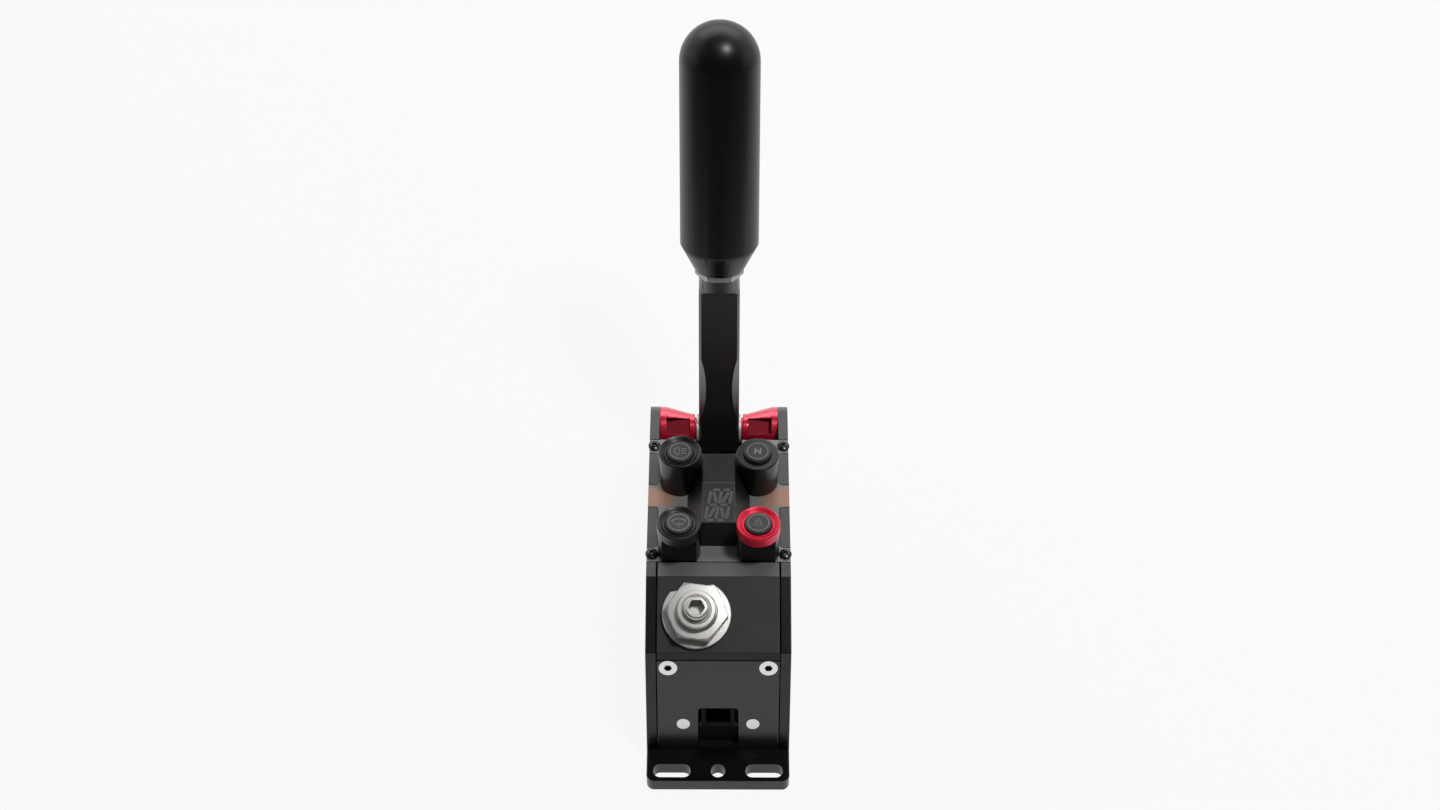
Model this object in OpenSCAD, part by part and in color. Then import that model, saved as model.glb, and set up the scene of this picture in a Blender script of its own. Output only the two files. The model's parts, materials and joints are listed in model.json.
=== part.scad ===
// Sequential gear shifter for a racing simulator: a low milled housing with four push buttons and a
// gear display, and a long lever that rocks in two bearings against a pair of preloaded springs.
// Millimetres, +Z up. The origin is the middle of the base plate's underside.
// +Y points away from the driver.

/* [Body] */
// Width over the two side plates
body_width = 63; // [58:1:74]
// Thickness of each side plate
side_thickness = 4.5; // [4:0.25:6]
// Gap between a side plate and the pieces that stand between the two
side_gap = 0.4; // [0.2:0.1:0.6]
// Length of the side plates where they stand on the base plate
body_length = 158.4; // [154:0.2:170]
// Angle by which the front face leans back
front_lean = 19; // [15:1:22]
// Length of the front face, measured along it
front_face = 55.65; // [53:0.05:60]
// Rise of the sloped face that carries the preload nut
nut_slope = 20; // [16:1:24]
// Length of that sloped face, measured along it
nut_face = 33.4; // [32:0.1:38]
// Fall of the top edge towards the back
top_fall = 5; // [2:1:8]
// Distance along the top edge from its front corner to the lever's pivot
top_run = 94; // [92:0.1:104]
// Depth of the pivot below the top edge, which is also the radius of the ears
pivot_drop = 10.2; // [9.8:0.1:12]

/* [Base plate] */
// Length of the flange that stands out in front of and behind the side plates
flange = 15.8; // [14:0.1:24]
// Thickness of the base plate
base_thickness = 8; // [6:0.5:12]
// Corner radius of the base plate
base_corner = 3.5; // [1:0.5:6]
// Spacing of the mounting slots across the flange
slot_spacing = 40.6; // [36:0.1:42]
// Length of a mounting slot from end to end
slot_length = 16.6; // [12:0.1:18]
// Width of a mounting slot and of the round hole between two slots
slot_width = 6.4; // [5.5:0.1:7]
// Distance of the mounting line from the flange's edge
slot_inset = 5.1; // [5:0.1:7]

/* [Front] */
// Thickness of the front plate
front_plate_thickness = 4; // [3:0.5:5]
// Height of the front block's lip above the front plate
lip_height = 4.24; // [3:0.02:6]
// Wall of the front block behind the sloped face
block_wall = 11; // [9:0.5:12]
// Width of the cable opening in the front plate
notch_width = 17.7; // [15:0.1:20]
// Height of the cable opening
notch_height = 22.4; // [18:0.1:24]
// Distance of the cable opening above the foot of the front face
notch_lift = 1.75; // [1:0.05:3]
// Spacing of the two front plate screws
front_screw_spacing = 43.5; // [38:0.5:44]
// Distance of the front plate screws below the top of the front face
front_screw_drop = 8.74; // [7:0.02:11]
// Diameter of the two locating dowels
dowel_d = 5.8; // [4:0.1:6.5]
// Spacing of the two locating dowels
dowel_spacing = 30.6; // [28:0.1:34]
// Distance of the dowels above the foot of the front face
dowel_lift = 14.85; // [13:0.05:16]

/* [Cover] */
// Thickness of the top cover
cover_thickness = 3; // [2:0.25:4]
// Distance of the cover's front edge from the front corner of the top edge
cover_front = 8.2; // [7:0.1:10]
// Distance of the cover's rear edge from the front corner of the top edge
cover_rear = 78.4; // [77:0.1:80]
// Depth of the opening for the lever in the cover's rear edge
lever_notch = 9.6; // [7:0.1:10]
// Start of the front tab of each side plate, along the top edge
front_tab_start = 16.3; // [15:0.1:18]
// Length of the front tab
front_tab_length = 22.7; // [18:0.1:26]
// Start of the rear tab of each side plate, along the top edge
rear_tab_start = 51.8; // [48:0.1:54]
// Length of the rear tab
rear_tab_length = 18.5; // [14:0.1:20]

/* [Buttons] */
// Distance of the buttons from the sides of the body
button_inset = 14.3; // [14.1:0.1:15]
// Distance of the front buttons from the front corner of the top edge
button_front = 13.9; // [13:0.1:15]
// Distance between the front and the rear buttons
button_pitch = 40.4; // [38:0.1:42]
// Diameter of a button cap
cap_d = 12; // [10:0.1:12.5]
// Height of the cap tops above the cover
cap_top = 20.5; // [19:0.1:23]
// Travel of a button
button_travel = 1.6; // [1:0.1:2]
// Diameter of a bezel ring
bezel_d = 19; // [18:0.1:20]
// Height of a bezel ring
bezel_height = 5.5; // [4.5:0.1:6]
// Diameter of the dished opening in a bezel ring
bezel_mouth = 13.8; // [13:0.1:14.5]
// Depth of that opening
bezel_dish = 1.2; // [0.8:0.1:1.6]
// Height of the bezel rings above the cover
bezel_top = 20.3; // [19:0.1:22]
// How far the rear right bezel ring stands below the others
bezel_step = 1.8; // [0.5:0.1:2.5]
// Diameter of the towers that carry the rings
tower_d = 18.6; // [17.5:0.1:19]

/* [Display] */
// Height of the display housing above the cover
hood_height = 14; // [11:0.5:16]
// Width of the display housing's top
hood_top_width = 14.4; // [13:0.1:16]
// Width of the display housing's foot
hood_foot_width = 28; // [24:0.5:30]
// Distance of the top's front edge from the front corner of the top edge
hood_front = 18.9; // [18:0.1:21]
// Length of the display housing's top
hood_length = 40.9; // [38:0.1:42]
// Length of the level window over the display
hood_window = 22.5; // [21:0.1:26]
// Fall of the top from the window to the rear end
hood_fall = 1.6; // [0.5:0.1:3]
// Length of the sloped ends of the display housing
hood_skirt = 2; // [1:0.1:3]
// Wall of the display housing over the display module
hood_wall = 1.5; // [1:0.1:2]

/* [Lever] */
// Lean of the lever away from the driver at rest
lever_lean = 24.5; // [20:0.5:28]
// Width of the lever bar
lever_width = 18.4; // [16:0.2:19]
// Thickness of the lever bar
lever_thickness = 13; // [12:0.5:15]
// Height of the lever's top above the pivot
lever_top = 79.6; // [70:0.1:90]
// Height of the round head below the lever's top
head_height = 6.9; // [5:0.1:9]
// Radius of the arched run-out under the round head
arch_radius = 16; // [14:0.5:22]
// Chamfer along the edges of the lever bar
lever_chamfer = 1.1; // [0.6:0.1:1.8]
// Middle of the scallops above the pivot
scallop_middle = 24.4; // [22:0.1:28]
// Width of a scallop at its middle
scallop_width = 3.25; // [2:0.05:4]
// Radius of a scallop
scallop_radius = 74; // [60:1:90]
// Diameter of the pivot axle
axle_d = 8; // [6:0.5:8.5]
// Range of the lever to each side of rest, in degrees
lever_swing = 3; // [2:0.5:3]

/* [Handle] */
// Diameter of the handle
handle_d = 35; // [30:0.5:40]
// Diameter of the handle's lower end
handle_foot_d = 22; // [20:0.5:24]
// Length of the conical lower end
handle_cone = 12.8; // [10:0.1:16]
// Length of the handle from end to end
handle_length = 115.3; // [95:0.1:130]
// Width across flats of the jam nut under the handle
jam_nut_flats = 19; // [17:0.5:21]
// Height of that jam nut
jam_nut_height = 3; // [2.5:0.1:6]
// Diameter of the stud in the handle
stud_d = 10; // [8:0.5:12]

/* [Bearing seats] */
// Outer diameter of a bearing
bearing_d = 16; // [15:0.5:16.5]
// Width of a bearing
bearing_width = 4; // [3.5:0.25:4]
// Width of the outer rim of a bearing seat
seat_rim = 2.6; // [2.4:0.1:4.5]
// Radius of the narrow end of a bearing seat
seat_end_radius = 7; // [6.9:0.1:8]
// Width of the rim at the narrow end
seat_end_rim = 1.9; // [1.2:0.1:2.5]
// Number of pockets round a bearing seat
pocket_count = 3; // [2:1:4]
// Width of a pocket
pocket_width = 7.4; // [4:0.1:7.6]
// Radius of the core that the pockets leave
pocket_floor = 5.6; // [5.3:0.1:5.7]
// Thickness of the thrust washers beside the lever
thrust_thickness = 1; // [0.6:0.1:1.4]
// Diameter of the thrust washers
thrust_d = 13.4; // [12:0.1:14]

/* [Preload] */
// Distance of the preload rod to the left of the middle
rod_offset = 9.4; // [9:0.1:10]
// Distance of the preload rod up the sloped face
rod_up = 16.4; // [16:0.1:17]
// Diameter of the preload rod
rod_d = 10.6; // [10:0.1:12]
// Height of the rod's end above the sloped face
rod_stand = 17.1; // [16:0.1:20]
// Diameter of the preload washer
washer_d = 30; // [28:0.5:31]
// Thickness of the preload washer
washer_thickness = 2.5; // [2:0.1:3]
// Distance from the rod's axis to the flat on the preload washer's edge
washer_flat = 11.7; // [11:0.1:13.5]
// Turn of the washer's flat from straight up the sloped face
washer_turn = 10; // [0:1:30]
// Width across flats of the preload nut
nut_flats = 24; // [22:0.5:25]
// Height of the preload nut's hexagon
nut_height = 6; // [5:0.1:8]
// Height of the round collar on the preload nut
collar_height = 4.6; // [3:0.1:5]
// Turn of the hexagon against the sloped face
nut_turn = 8; // [0:1:30]
// Depth of the rocker arm's middle below the sloped face, along the rod
arm_depth = 30; // [29:0.1:30.5]
// Thickness of the rocker arm's eye
eye_thickness = 8; // [6:0.5:8.5]
// Thickness of the rocker arm's blade
arm_thickness = 7.8; // [6:0.2:7.8]
// Height of the rocker arm's blade
arm_height = 12; // [10:0.5:14]
// Wire of the two springs
wire_d = 1.8; // [1.4:0.1:1.8]
// Mean diameter of the two springs
spring_d = 18; // [17.5:0.1:18.4]
// Turns of each spring
spring_turns = 4; // [3:0.5:4]
// Free height of the lower spring
lower_spring_height = 14.6; // [13.5:0.1:15.5]

/* [Fasteners] */
// Thread diameter of the small screws
small_screw_d = 3; // [2.5:0.1:3]
// Head diameter of the small countersunk screws
small_head_d = 6; // [5:0.1:6.2]
// Thread diameter of the front plate screws
front_screw_d = 4; // [3.5:0.1:4.5]
// Head diameter of the front plate screws
front_head_d = 8; // [7:0.1:8.2]
// Head diameter of the cover's button-head screws
button_head_d = 5.5; // [5:0.1:5.6]

/* [Hidden] */

$fn = 64;
hex = 6;
cut = 1;
fit = 0.05;
slide_gap = 0.1;
part_gap = 0.3;
right = 1;
left = -1;
sides = [left, right];

// Places across the body
half_width = body_width / 2;
inner_face = half_width - side_thickness;
fill_half = inner_face - side_gap;
edge_x = half_width - side_thickness / 2;
button_x = half_width - button_inset;

// Corners of the side profile as [y, z], and the frames along its faces
base_length = body_length + 2 * flange;
front_up = [sin(front_lean), cos(front_lean)];
front_in = [cos(front_lean), -sin(front_lean)];
nut_up = [cos(nut_slope), sin(nut_slope)];
nut_out = [-sin(nut_slope), cos(nut_slope)];
top_along = [cos(top_fall), -sin(top_fall)];
top_out = [sin(top_fall), cos(top_fall)];
front_foot = [-body_length / 2, base_thickness];
front_corner = front_foot + front_face * front_up;
top_corner = front_corner + nut_face * nut_up;
pivot = top_corner + top_run * top_along - pivot_drop * top_out;
rear_foot = [body_length / 2, base_thickness];
to_foot = rear_foot - pivot;
ear_angle = atan2(to_foot[1], to_foot[0]) + acos(pivot_drop / norm(to_foot));
ear_tangent = pivot + pivot_drop * [cos(ear_angle), sin(ear_angle)];
rear_up = (ear_tangent - rear_foot) / norm(ear_tangent - rear_foot);
rear_in = [-rear_up[1], rear_up[0]];
lever_up = [sin(lever_lean), cos(lever_lean)];

function front_point(depth, up) = front_foot + up * front_up + depth * front_in;
function nut_point(up, out) = front_corner + up * nut_up + out * nut_out;
function top_point(along, out) = top_corner + along * top_along + out * top_out;
function rear_point(depth, up) = rear_foot + up * rear_up + depth * rear_in;
function rod_point(depth) = nut_point(rod_up, -depth);

// Front pieces
plate_gap = 0.4;
plate_top = front_face - lip_height - plate_gap;
block_back = 10;
block_reach = 15;
block_foot = plate_top - block_reach;
block_drop = 12;
block_step = 4;
block_inner_start = 5.5;
block_inner_end = 28;
front_screw_up = front_face - front_screw_drop;
notch_corner = 2;
port_block_depth = 8;
port_block_margin = 2;
port_block_half = dowel_spacing / 2 + dowel_d / 2 + port_block_margin;
port_block_top = dowel_lift + dowel_d / 2 + port_block_margin;
port_opening = 13.8;
port_floor = notch_lift + notch_height - port_opening;
port_board_thickness = 1.6;
port_board_length = 18;
port_side_gap = 1.55;
port_half = notch_width / 2 - port_side_gap;
port_height = 11.6;
port_set_back = 2.2;
port_length = 14;
port_wall = 1.8;
port_socket_depth = 9;
rear_plate_thickness = 9;
rear_plate_height = 32;

// Cover, towers and electronics, measured from the cover's top face
cover_gap = 0.2;
cover_start = cover_front + cover_gap;
button_rear = button_front + button_pitch;
button_lines = [button_front, button_rear];
tower_top = bezel_top - bezel_height;
cap_stem_d = 5;
cap_edge = 0.6;
bezel_edge = 0.5;
bezel_rim = 0.8;
flat = 0;
board_drop = 8;
board_thickness = 1.6;
board_side_gap = 1.2;
board_half = fill_half - board_side_gap;
board_end_gap = 1.2;
notch_margin = 1.3;
lever_notch_corner = 2;
board_front_gap = 1.6;
board_start = cover_start + board_front_gap;
board_end = cover_rear - lever_notch - board_end_gap;
switch_size = 6;
switch_height = 3.5;
stem_bottom = switch_height - board_drop + button_travel + part_gap;
boss_d = 6;
boss_margin = 1;
boss_shift = 8;
boss_x = board_half - boss_d / 2 - boss_margin;
boss_lines = [(button_front + button_rear) / 2 - boss_shift, board_end - boss_d / 2 - boss_margin];
board_screw_d = 2;
cover_land_front = (cover_front + front_tab_start) / 2;
cover_land_rear = (rear_tab_start + rear_tab_length + cover_rear) / 2;
cover_land_middle = front_tab_start + front_tab_length;
cover_lands = [
    [cover_front, front_tab_start],
    [cover_land_middle, rear_tab_start],
    [rear_tab_start + rear_tab_length, cover_rear]];
button_head_height = 1.65;
cover_screw_length = 10;

// Display housing and module
hood_end = hood_front + hood_length;
tower_clear = 0.45;
module_half = hood_top_width / 2 - hood_wall;
module_front = hood_front + hood_wall;
module_length = hood_window - 2 * hood_wall;
module_top = hood_height - hood_wall - fit;

// Bearing seats, measured inwards from a side plate's inner face
running_gap = 0.1;
thrust_outer = lever_width / 2 + thrust_thickness;
seat_length = inner_face - thrust_outer - running_gap;
seat_boss = 0.8;
seat_boss_wall = 1.3;
seat_boss_radius = axle_d / 2 + seat_boss_wall;
seat_bore_radius = axle_d / 2 + part_gap;
spigot_depth = 1.8;
spigot_wall = 1;
spigot_radius = bearing_d / 2 + spigot_wall;
spigot_floor_gap = 0.2;
pocket_phase = -28;
pocket_inset = 0.3;
race_wall = 1.1;
race_gap = 0.1;
axle_end_gap = 0.2;
axle_half = inner_face + spigot_depth + spigot_floor_gap - axle_end_gap;

// Lever and rocker arm
lever_half = lever_width / 2;
tab_drop = 16;
tab_end = 23;
tab_radius = 7.5;
tab_split = 1;
tab_gap = 0.2;
stud_depth = 14;
stud_reach = 42;
head_start = lever_top - head_height;
arch_rise = 1.7;
arch_middle = head_start + arch_rise - arch_radius;
scallop_turn = 45;
arm_left = tab_split + tab_gap;
arm_right = arm_left + arm_thickness;
arm_nose = 4;
arm_end = rod_point(arm_depth);
arm_root = pivot - tab_drop * lever_up;
arm_line = arm_root - arm_end;
arm_length = norm(arm_line);
arm_angle = atan2(arm_line[1], arm_line[0]);
arm_bolt_d = 4;
arm_bolt_head_d = 7;
arm_bolt_head_height = 2.2;
arm_bolt_pitch = 7;
rod_clear = 0.4;
slot_half_width = rod_d / 2 + rod_clear;
// The eye swings on an arc, so its slot is longer than the rod is thick
swing_travel = norm(arm_end - pivot) * sin(lever_swing);
swing_slant = 12;
slot_slide = swing_travel * sin(swing_slant) + eye_thickness / 2 * sin(lever_swing) + part_gap;
eye_wall = 2.6;
neck_start = slot_half_width + eye_wall / 2;
magnet_d = 6;
magnet_height = 2;
sensor_gap = 1.2;
sensor_thickness = 1.6;
sensor_half = 9;
bracket_width = 10;
bracket_wall = 3;
bracket_foot = 8;
magnet_reach = 32;
magnet_point = arm_root - magnet_reach * arm_line / arm_length;
sensor_x = arm_right + magnet_height + sensor_gap;

// Preload rod and springs, measured along the rod from the sloped face inwards
spring_seat_gap = 0.2;
upper_spring_start = block_wall + spring_seat_gap;
upper_spring_end = arm_depth - eye_thickness / 2 - spring_seat_gap;
lower_spring_start = arm_depth + eye_thickness / 2 + spring_seat_gap;
lower_spring_end = lower_spring_start + lower_spring_height;
rod_seat_start = lower_spring_end + spring_seat_gap;
rod_seat_thickness = 2.5;
rod_seat_margin = 1;
rod_seat_d = spring_d + wire_d + rod_seat_margin;
lock_nut_flats = 19;
lock_nut_height = 3.5;
rod_tail = 1;
rod_end = rod_seat_start + rod_seat_thickness + lock_nut_height + rod_tail;
nut_top = washer_thickness + nut_height;
collar_foot_d = 17.9;
collar_top_d = 16.6;
insert_wall = 1;
insert_height = 2.6;
rod_socket = 6;
rod_socket_depth = 6;
rod_edge = 0.9;
hex_edge = 0.6;

// Handle, measured along the lever from the pivot
jam_nut_start = lever_top;
handle_start = jam_nut_start + jam_nut_height;

// Screws
screw_sink = 0.1;
screw_clear = 0.15;
socket_share = 0.45;
socket_depth = 1.4;
side_screw_length = 12;
base_screw_bite = 6;
base_screw_length = base_thickness + base_screw_bite;
front_screw_bite = 8;
front_screw_length = front_plate_thickness + front_screw_bite;
block_screw_rise = 4;
slope_screw_back = 6.4;
rear_screw_rises = [10, 26];
button_head_curve = 0.8;
button_socket_share = 0.75;
button_socket_lift = 0.4;
rear_screw_x = 18;
side_screw_points = [
    front_point(front_plate_thickness + block_back / 2, block_foot + block_screw_rise),
    nut_point(nut_face - slope_screw_back, -block_wall / 2),
    for (rise = rear_screw_rises) rear_point(rear_plate_thickness / 2, rise)];
port_screw_depth = front_plate_thickness + port_block_depth / 2;
port_screw_y = front_point(port_screw_depth, port_screw_depth * tan(front_lean))[0];
base_screw_points = [
    for (side = sides) [side * dowel_spacing / 2, port_screw_y],
    for (side = sides) [side * rear_screw_x, rear_foot[0] - rear_plate_thickness / 2],
    [sensor_x + sensor_thickness + bracket_width / 2, magnet_point[0]]];

// Spring wire
wire_sides = 6;
curl_rings = 8;

module front_frame() {
    translate([0, front_foot[0], front_foot[1]]) rotate([-front_lean, 0, 0]) children();
}

module rod_frame() {
    start = nut_point(rod_up, 0);
    translate([-rod_offset, start[0], start[1]]) rotate([nut_slope, 0, 0]) children();
}

module top_frame() {
    translate([0, top_corner[0], top_corner[1]]) rotate([-top_fall, 0, 0]) children();
}

module lever_frame() {
    translate([0, pivot[0], pivot[1]]) rotate([-lever_lean, 0, 0]) children();
}

// Puts a profile drawn as [y, z] across the body, from one x to another
module across(from, to) {
    translate([from, 0, 0]) rotate([90, 0, 90]) linear_extrude(to - from) children();
}

// Turns +Z towards the inside of the body, starting at a side plate's inner face on the pivot line
module seat_frame(side) {
    mirror([side == left ? 1 : 0, 0, 0])
        translate([inner_face, pivot[0], pivot[1]]) rotate([0, -90, 0]) children();
}

// Turns +Z outwards at a point of a side plate's outer face
module side_frame(side, point) {
    mirror([side == left ? 1 : 0, 0, 0])
        translate([half_width, point[0], point[1]]) rotate([0, 90, 0]) children();
}

module ring(outer, inner, height) {
    rotate_extrude() translate([inner, 0]) square([outer - inner, height]);
}

// Hexagon with its corners turned off at both ends
module hex_bar(flats, height) {
    corner = flats / 2 / cos(180 / hex);
    intersection() {
        cylinder(r = corner, h = height, $fn = hex);
        rotate_extrude() polygon([
            [0, 0], [flats / 2, 0], [corner, hex_edge / 2], [corner, height - hex_edge / 2],
            [flats / 2, height], [0, height]]);
    }
}

// Screw with its head's face just below z = 0 and its shank along -Z
module countersunk_screw(d, head, length) {
    difference() {
        rotate_extrude() polygon([
            [0, -screw_sink], [head / 2, -screw_sink], [d / 2, -screw_sink - (head - d) / 2],
            [d / 2, -length], [0, -length]]);
        translate([0, 0, -screw_sink - socket_depth])
            cylinder(d = head * socket_share, h = socket_depth + cut, $fn = hex);
    }
}

module countersunk_hole(d, head, length) {
    grown = head / 2 + screw_clear;
    narrow = d / 2 + screw_clear;
    rotate_extrude() polygon([
        [0, cut], [grown, cut], [grown, 0], [narrow, -(grown - narrow)], [narrow, -length], [0, -length]]);
}

module button_head_screw() {
    difference() {
        union() {
            rotate_extrude() intersection() {
                square([button_head_d / 2, button_head_height]);
                translate([0, button_head_height - button_head_d * button_head_curve])
                    circle(r = button_head_d * button_head_curve);
            }
            translate([0, 0, -cover_screw_length])
                cylinder(d = small_screw_d, h = cover_screw_length + button_head_height / 2);
        }
        translate([0, 0, button_head_height - socket_depth + button_socket_lift])
            cylinder(d = small_screw_d * button_socket_share, h = socket_depth, $fn = hex);
    }
}

module slot_outline() {
    run = (slot_length - slot_width) / 2;
    for (end = sides) translate([end * run, 0]) circle(d = slot_width);
    square([2 * run, slot_width], center = true);
}

module rounded_outline(width, length, corner) {
    square([width - 2 * corner, length], center = true);
    square([width, length - 2 * corner], center = true);
    for (x = sides, y = sides)
        translate([x * (width / 2 - corner), y * (length / 2 - corner)]) circle(r = corner);
}

// Base and walls

module base_plate() {
    mount_y = base_length / 2 - slot_inset;
    color("#2b2b2d") difference() {
        linear_extrude(base_thickness) difference() {
            rounded_outline(body_width, base_length, base_corner);
            for (end = sides) translate([0, end * mount_y]) {
                circle(d = slot_width);
                for (side = sides) translate([side * slot_spacing / 2, 0]) slot_outline();
            }
        }
        for (point = base_screw_points) translate([point[0], point[1], 0]) mirror([0, 0, 1])
            countersunk_hole(small_screw_d, small_head_d, base_thickness + cut);
    }
}

module side_outline() {
    difference() {
        polygon([front_foot, front_corner, top_corner, top_point(top_run, 0), ear_tangent, rear_foot]);
        for (land = cover_lands)
            translate(top_corner) rotate(-top_fall) translate([land[0], -cover_thickness])
                square([land[1] - land[0], cover_thickness + cut]);
    }
}

module side_plate(side) {
    color("#2e2d2d") difference() {
        union() {
            if (side == right) across(inner_face, half_width) side_outline();
            else across(-half_width, -inner_face) side_outline();
            seat_frame(side) mirror([0, 0, 1]) cylinder(r = pivot_drop - fit, h = side_thickness);
        }
        seat_frame(side) mirror([0, 0, 1])
            translate([0, 0, -cut])
                cylinder(r = spigot_radius + fit, h = spigot_depth + spigot_floor_gap + cut);
        for (point = side_screw_points) side_frame(side, point)
            countersunk_hole(small_screw_d, small_head_d, side_thickness + cut);
        top_frame() for (along = [cover_land_front, cover_land_rear])
            translate([side * edge_x, along, -cover_screw_length - part_gap])
                cylinder(d = small_screw_d + 2 * fit, h = cover_screw_length);
    }
}

// Tapped holes that the base screws enter from below
module base_tappings() {
    for (point = base_screw_points) translate([point[0], point[1], base_thickness - cut])
        cylinder(d = small_screw_d + 2 * fit, h = base_screw_length - base_thickness + cut + part_gap);
}

module front_block() {
    shelf = front_plate_thickness;
    color("#333233") difference() {
        across(-fill_half, fill_half) polygon([
            front_point(0, plate_top + plate_gap), front_corner, top_corner, top_point(cover_front, 0),
            top_point(cover_front, -block_drop), nut_point(block_inner_end, -block_wall),
            nut_point(block_inner_start, -block_wall),
            front_point(shelf + block_back, block_foot + block_step), front_point(shelf + block_back, block_foot),
            front_point(shelf, block_foot),
            front_point(shelf, plate_top + plate_gap)]);
        rod_frame() translate([0, 0, -nut_face]) cylinder(r = rod_d / 2 + rod_clear, h = nut_face + cut);
        front_frame() for (side = sides)
            translate([side * front_screw_spacing / 2, 0, front_screw_up]) rotate([90, 0, 0])
                translate([0, 0, -front_screw_length - part_gap])
                    cylinder(d = front_screw_d + 2 * fit, h = front_screw_length);
        for (side = sides, point = [side_screw_points[0], side_screw_points[1]]) side_frame(side, point)
            translate([0, 0, -side_screw_length - part_gap])
                cylinder(d = small_screw_d + 2 * fit, h = side_screw_length);
    }
}

module notch_outline() {
    translate([0, notch_lift + notch_height / 2]) rounded_outline(notch_width, notch_height, notch_corner);
}

module front_plate() {
    color("#424142") difference() {
        across(-fill_half, fill_half) polygon([
            front_foot, front_point(0, plate_top), front_point(front_plate_thickness, plate_top),
            front_point(front_plate_thickness, front_plate_thickness * tan(front_lean))]);
        front_frame() {
            translate([0, front_plate_thickness + cut, 0]) rotate([90, 0, 0])
                linear_extrude(front_plate_thickness + 2 * cut) notch_outline();
            for (side = sides) {
                translate([side * front_screw_spacing / 2, 0, front_screw_up]) rotate([90, 0, 0])
                    countersunk_hole(front_screw_d, front_head_d, front_plate_thickness + cut);
                translate([side * dowel_spacing / 2, front_plate_thickness + cut, dowel_lift])
                    rotate([90, 0, 0]) cylinder(d = dowel_d + 2 * fit, h = front_plate_thickness + 2 * cut);
            }
        }
    }
}

module rear_plate() {
    foot_rise = rear_plate_thickness * -rear_in[1] / rear_up[1];
    color("#2e2d2d") difference() {
        across(-fill_half, fill_half) polygon([
            rear_foot, rear_point(0, rear_plate_height),
            rear_point(rear_plate_thickness, rear_plate_height),
            rear_point(rear_plate_thickness, foot_rise)]);
        base_tappings();
        for (side = sides, point = [side_screw_points[2], side_screw_points[3]]) side_frame(side, point)
            translate([0, 0, -side_screw_length - part_gap])
                cylinder(d = small_screw_d + 2 * fit, h = side_screw_length);
    }
}

// Cable port behind the front plate

module port_block() {
    start = front_plate_thickness;
    end = start + port_block_depth;
    color("#222224") difference() {
        across(-port_block_half, port_block_half) polygon([
            front_point(start, start * tan(front_lean)), front_point(start, port_block_top),
            front_point(end, port_block_top), front_point(end, end * tan(front_lean))]);
        base_tappings();
        front_frame() {
            translate([-notch_width / 2, 0, port_floor])
                cube([notch_width, end + cut, port_block_top]);
            for (side = sides) translate([side * dowel_spacing / 2, end + cut, dowel_lift])
                rotate([90, 0, 0]) cylinder(d = dowel_d + 2 * fit, h = end + 2 * cut);
        }
    }
}

module port_board() {
    color("#1f4a33") front_frame()
        translate([-notch_width / 2 + part_gap, front_plate_thickness, port_floor])
            cube([notch_width - 2 * part_gap, port_board_length, port_board_thickness]);
}

module data_port() {
    foot = port_floor + port_board_thickness;
    color("#3a3a3c") front_frame() difference() {
        union() {
            translate([-port_half, front_plate_thickness, foot])
                cube([2 * port_half, port_set_back + port_length - front_plate_thickness, port_height]);
            translate([-port_half, port_set_back, foot])
                cube([2 * port_half, front_plate_thickness, port_height]);
        }
        translate([-port_half + port_wall, port_set_back - cut, foot + port_wall])
            cube([2 * (port_half - port_wall), port_socket_depth + cut, port_height - 2 * port_wall]);
    }
}

module front_dowels() {
    color("silver") front_frame() for (side = sides)
        translate([side * dowel_spacing / 2, front_plate_thickness + port_block_depth, dowel_lift])
            rotate([90, 0, 0]) cylinder(d = dowel_d, h = front_plate_thickness + port_block_depth);
}

// Cover, buttons and electronics

module tower_places() {
    for (side = sides, along = button_lines) translate([side * button_x, along, 0]) children();
}

module top_cover() {
    narrow = inner_face - cover_gap;
    color("#3a3634") top_frame() difference() {
        union() {
            translate([-narrow, cover_start, -cover_thickness])
                cube([2 * narrow, cover_rear - cover_start, cover_thickness]);
            for (land = cover_lands)
                translate([-half_width, land[0] + cover_gap, -cover_thickness])
                    cube([body_width, land[1] - land[0] - 2 * cover_gap, cover_thickness]);
            difference() {
                tower_places() translate([0, 0, -cover_thickness])
                    cylinder(d = tower_d, h = tower_top + cover_thickness);
                translate([-body_width, cover_start - bezel_d, -cover_thickness - cut])
                    cube([2 * body_width, bezel_d, tower_top + cover_thickness + 2 * cut]);
            }
            for (side = sides, along = boss_lines) translate([side * boss_x, along, -board_drop])
                cylinder(d = boss_d, h = board_drop - cover_thickness + fit);
        }
        rear_right_trim();
        tower_places() translate([0, 0, -cover_thickness - cut])
            cylinder(d = cap_stem_d + 2 * slide_gap, h = tower_top + cover_thickness + 2 * cut);
        translate([-module_half - fit, module_front - fit, -cover_thickness - cut])
            cube([2 * (module_half + fit), module_length + 2 * fit, cover_thickness + 2 * cut]);
        translate([0, cover_rear, -cover_thickness - cut]) linear_extrude(cover_thickness + 2 * cut)
            rounded_outline(lever_width + 2 * notch_margin, 2 * lever_notch, lever_notch_corner);
        for (side = sides, along = [cover_land_front, cover_land_rear])
            translate([side * edge_x, along, -cover_thickness - cut])
                cylinder(d = small_screw_d + 2 * screw_clear, h = cover_thickness + 2 * cut);
        for (side = sides, along = boss_lines) translate([side * boss_x, along, -board_drop - cut])
            cylinder(d = board_screw_d + 2 * fit, h = board_drop - cover_thickness + cut);
    }
}

// The rear right tower is cut lower, under its lower ring
module rear_right_trim() {
    translate([button_x, button_rear, tower_top - bezel_step])
        cylinder(d = bezel_d + cut, h = bezel_height);
}

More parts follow.
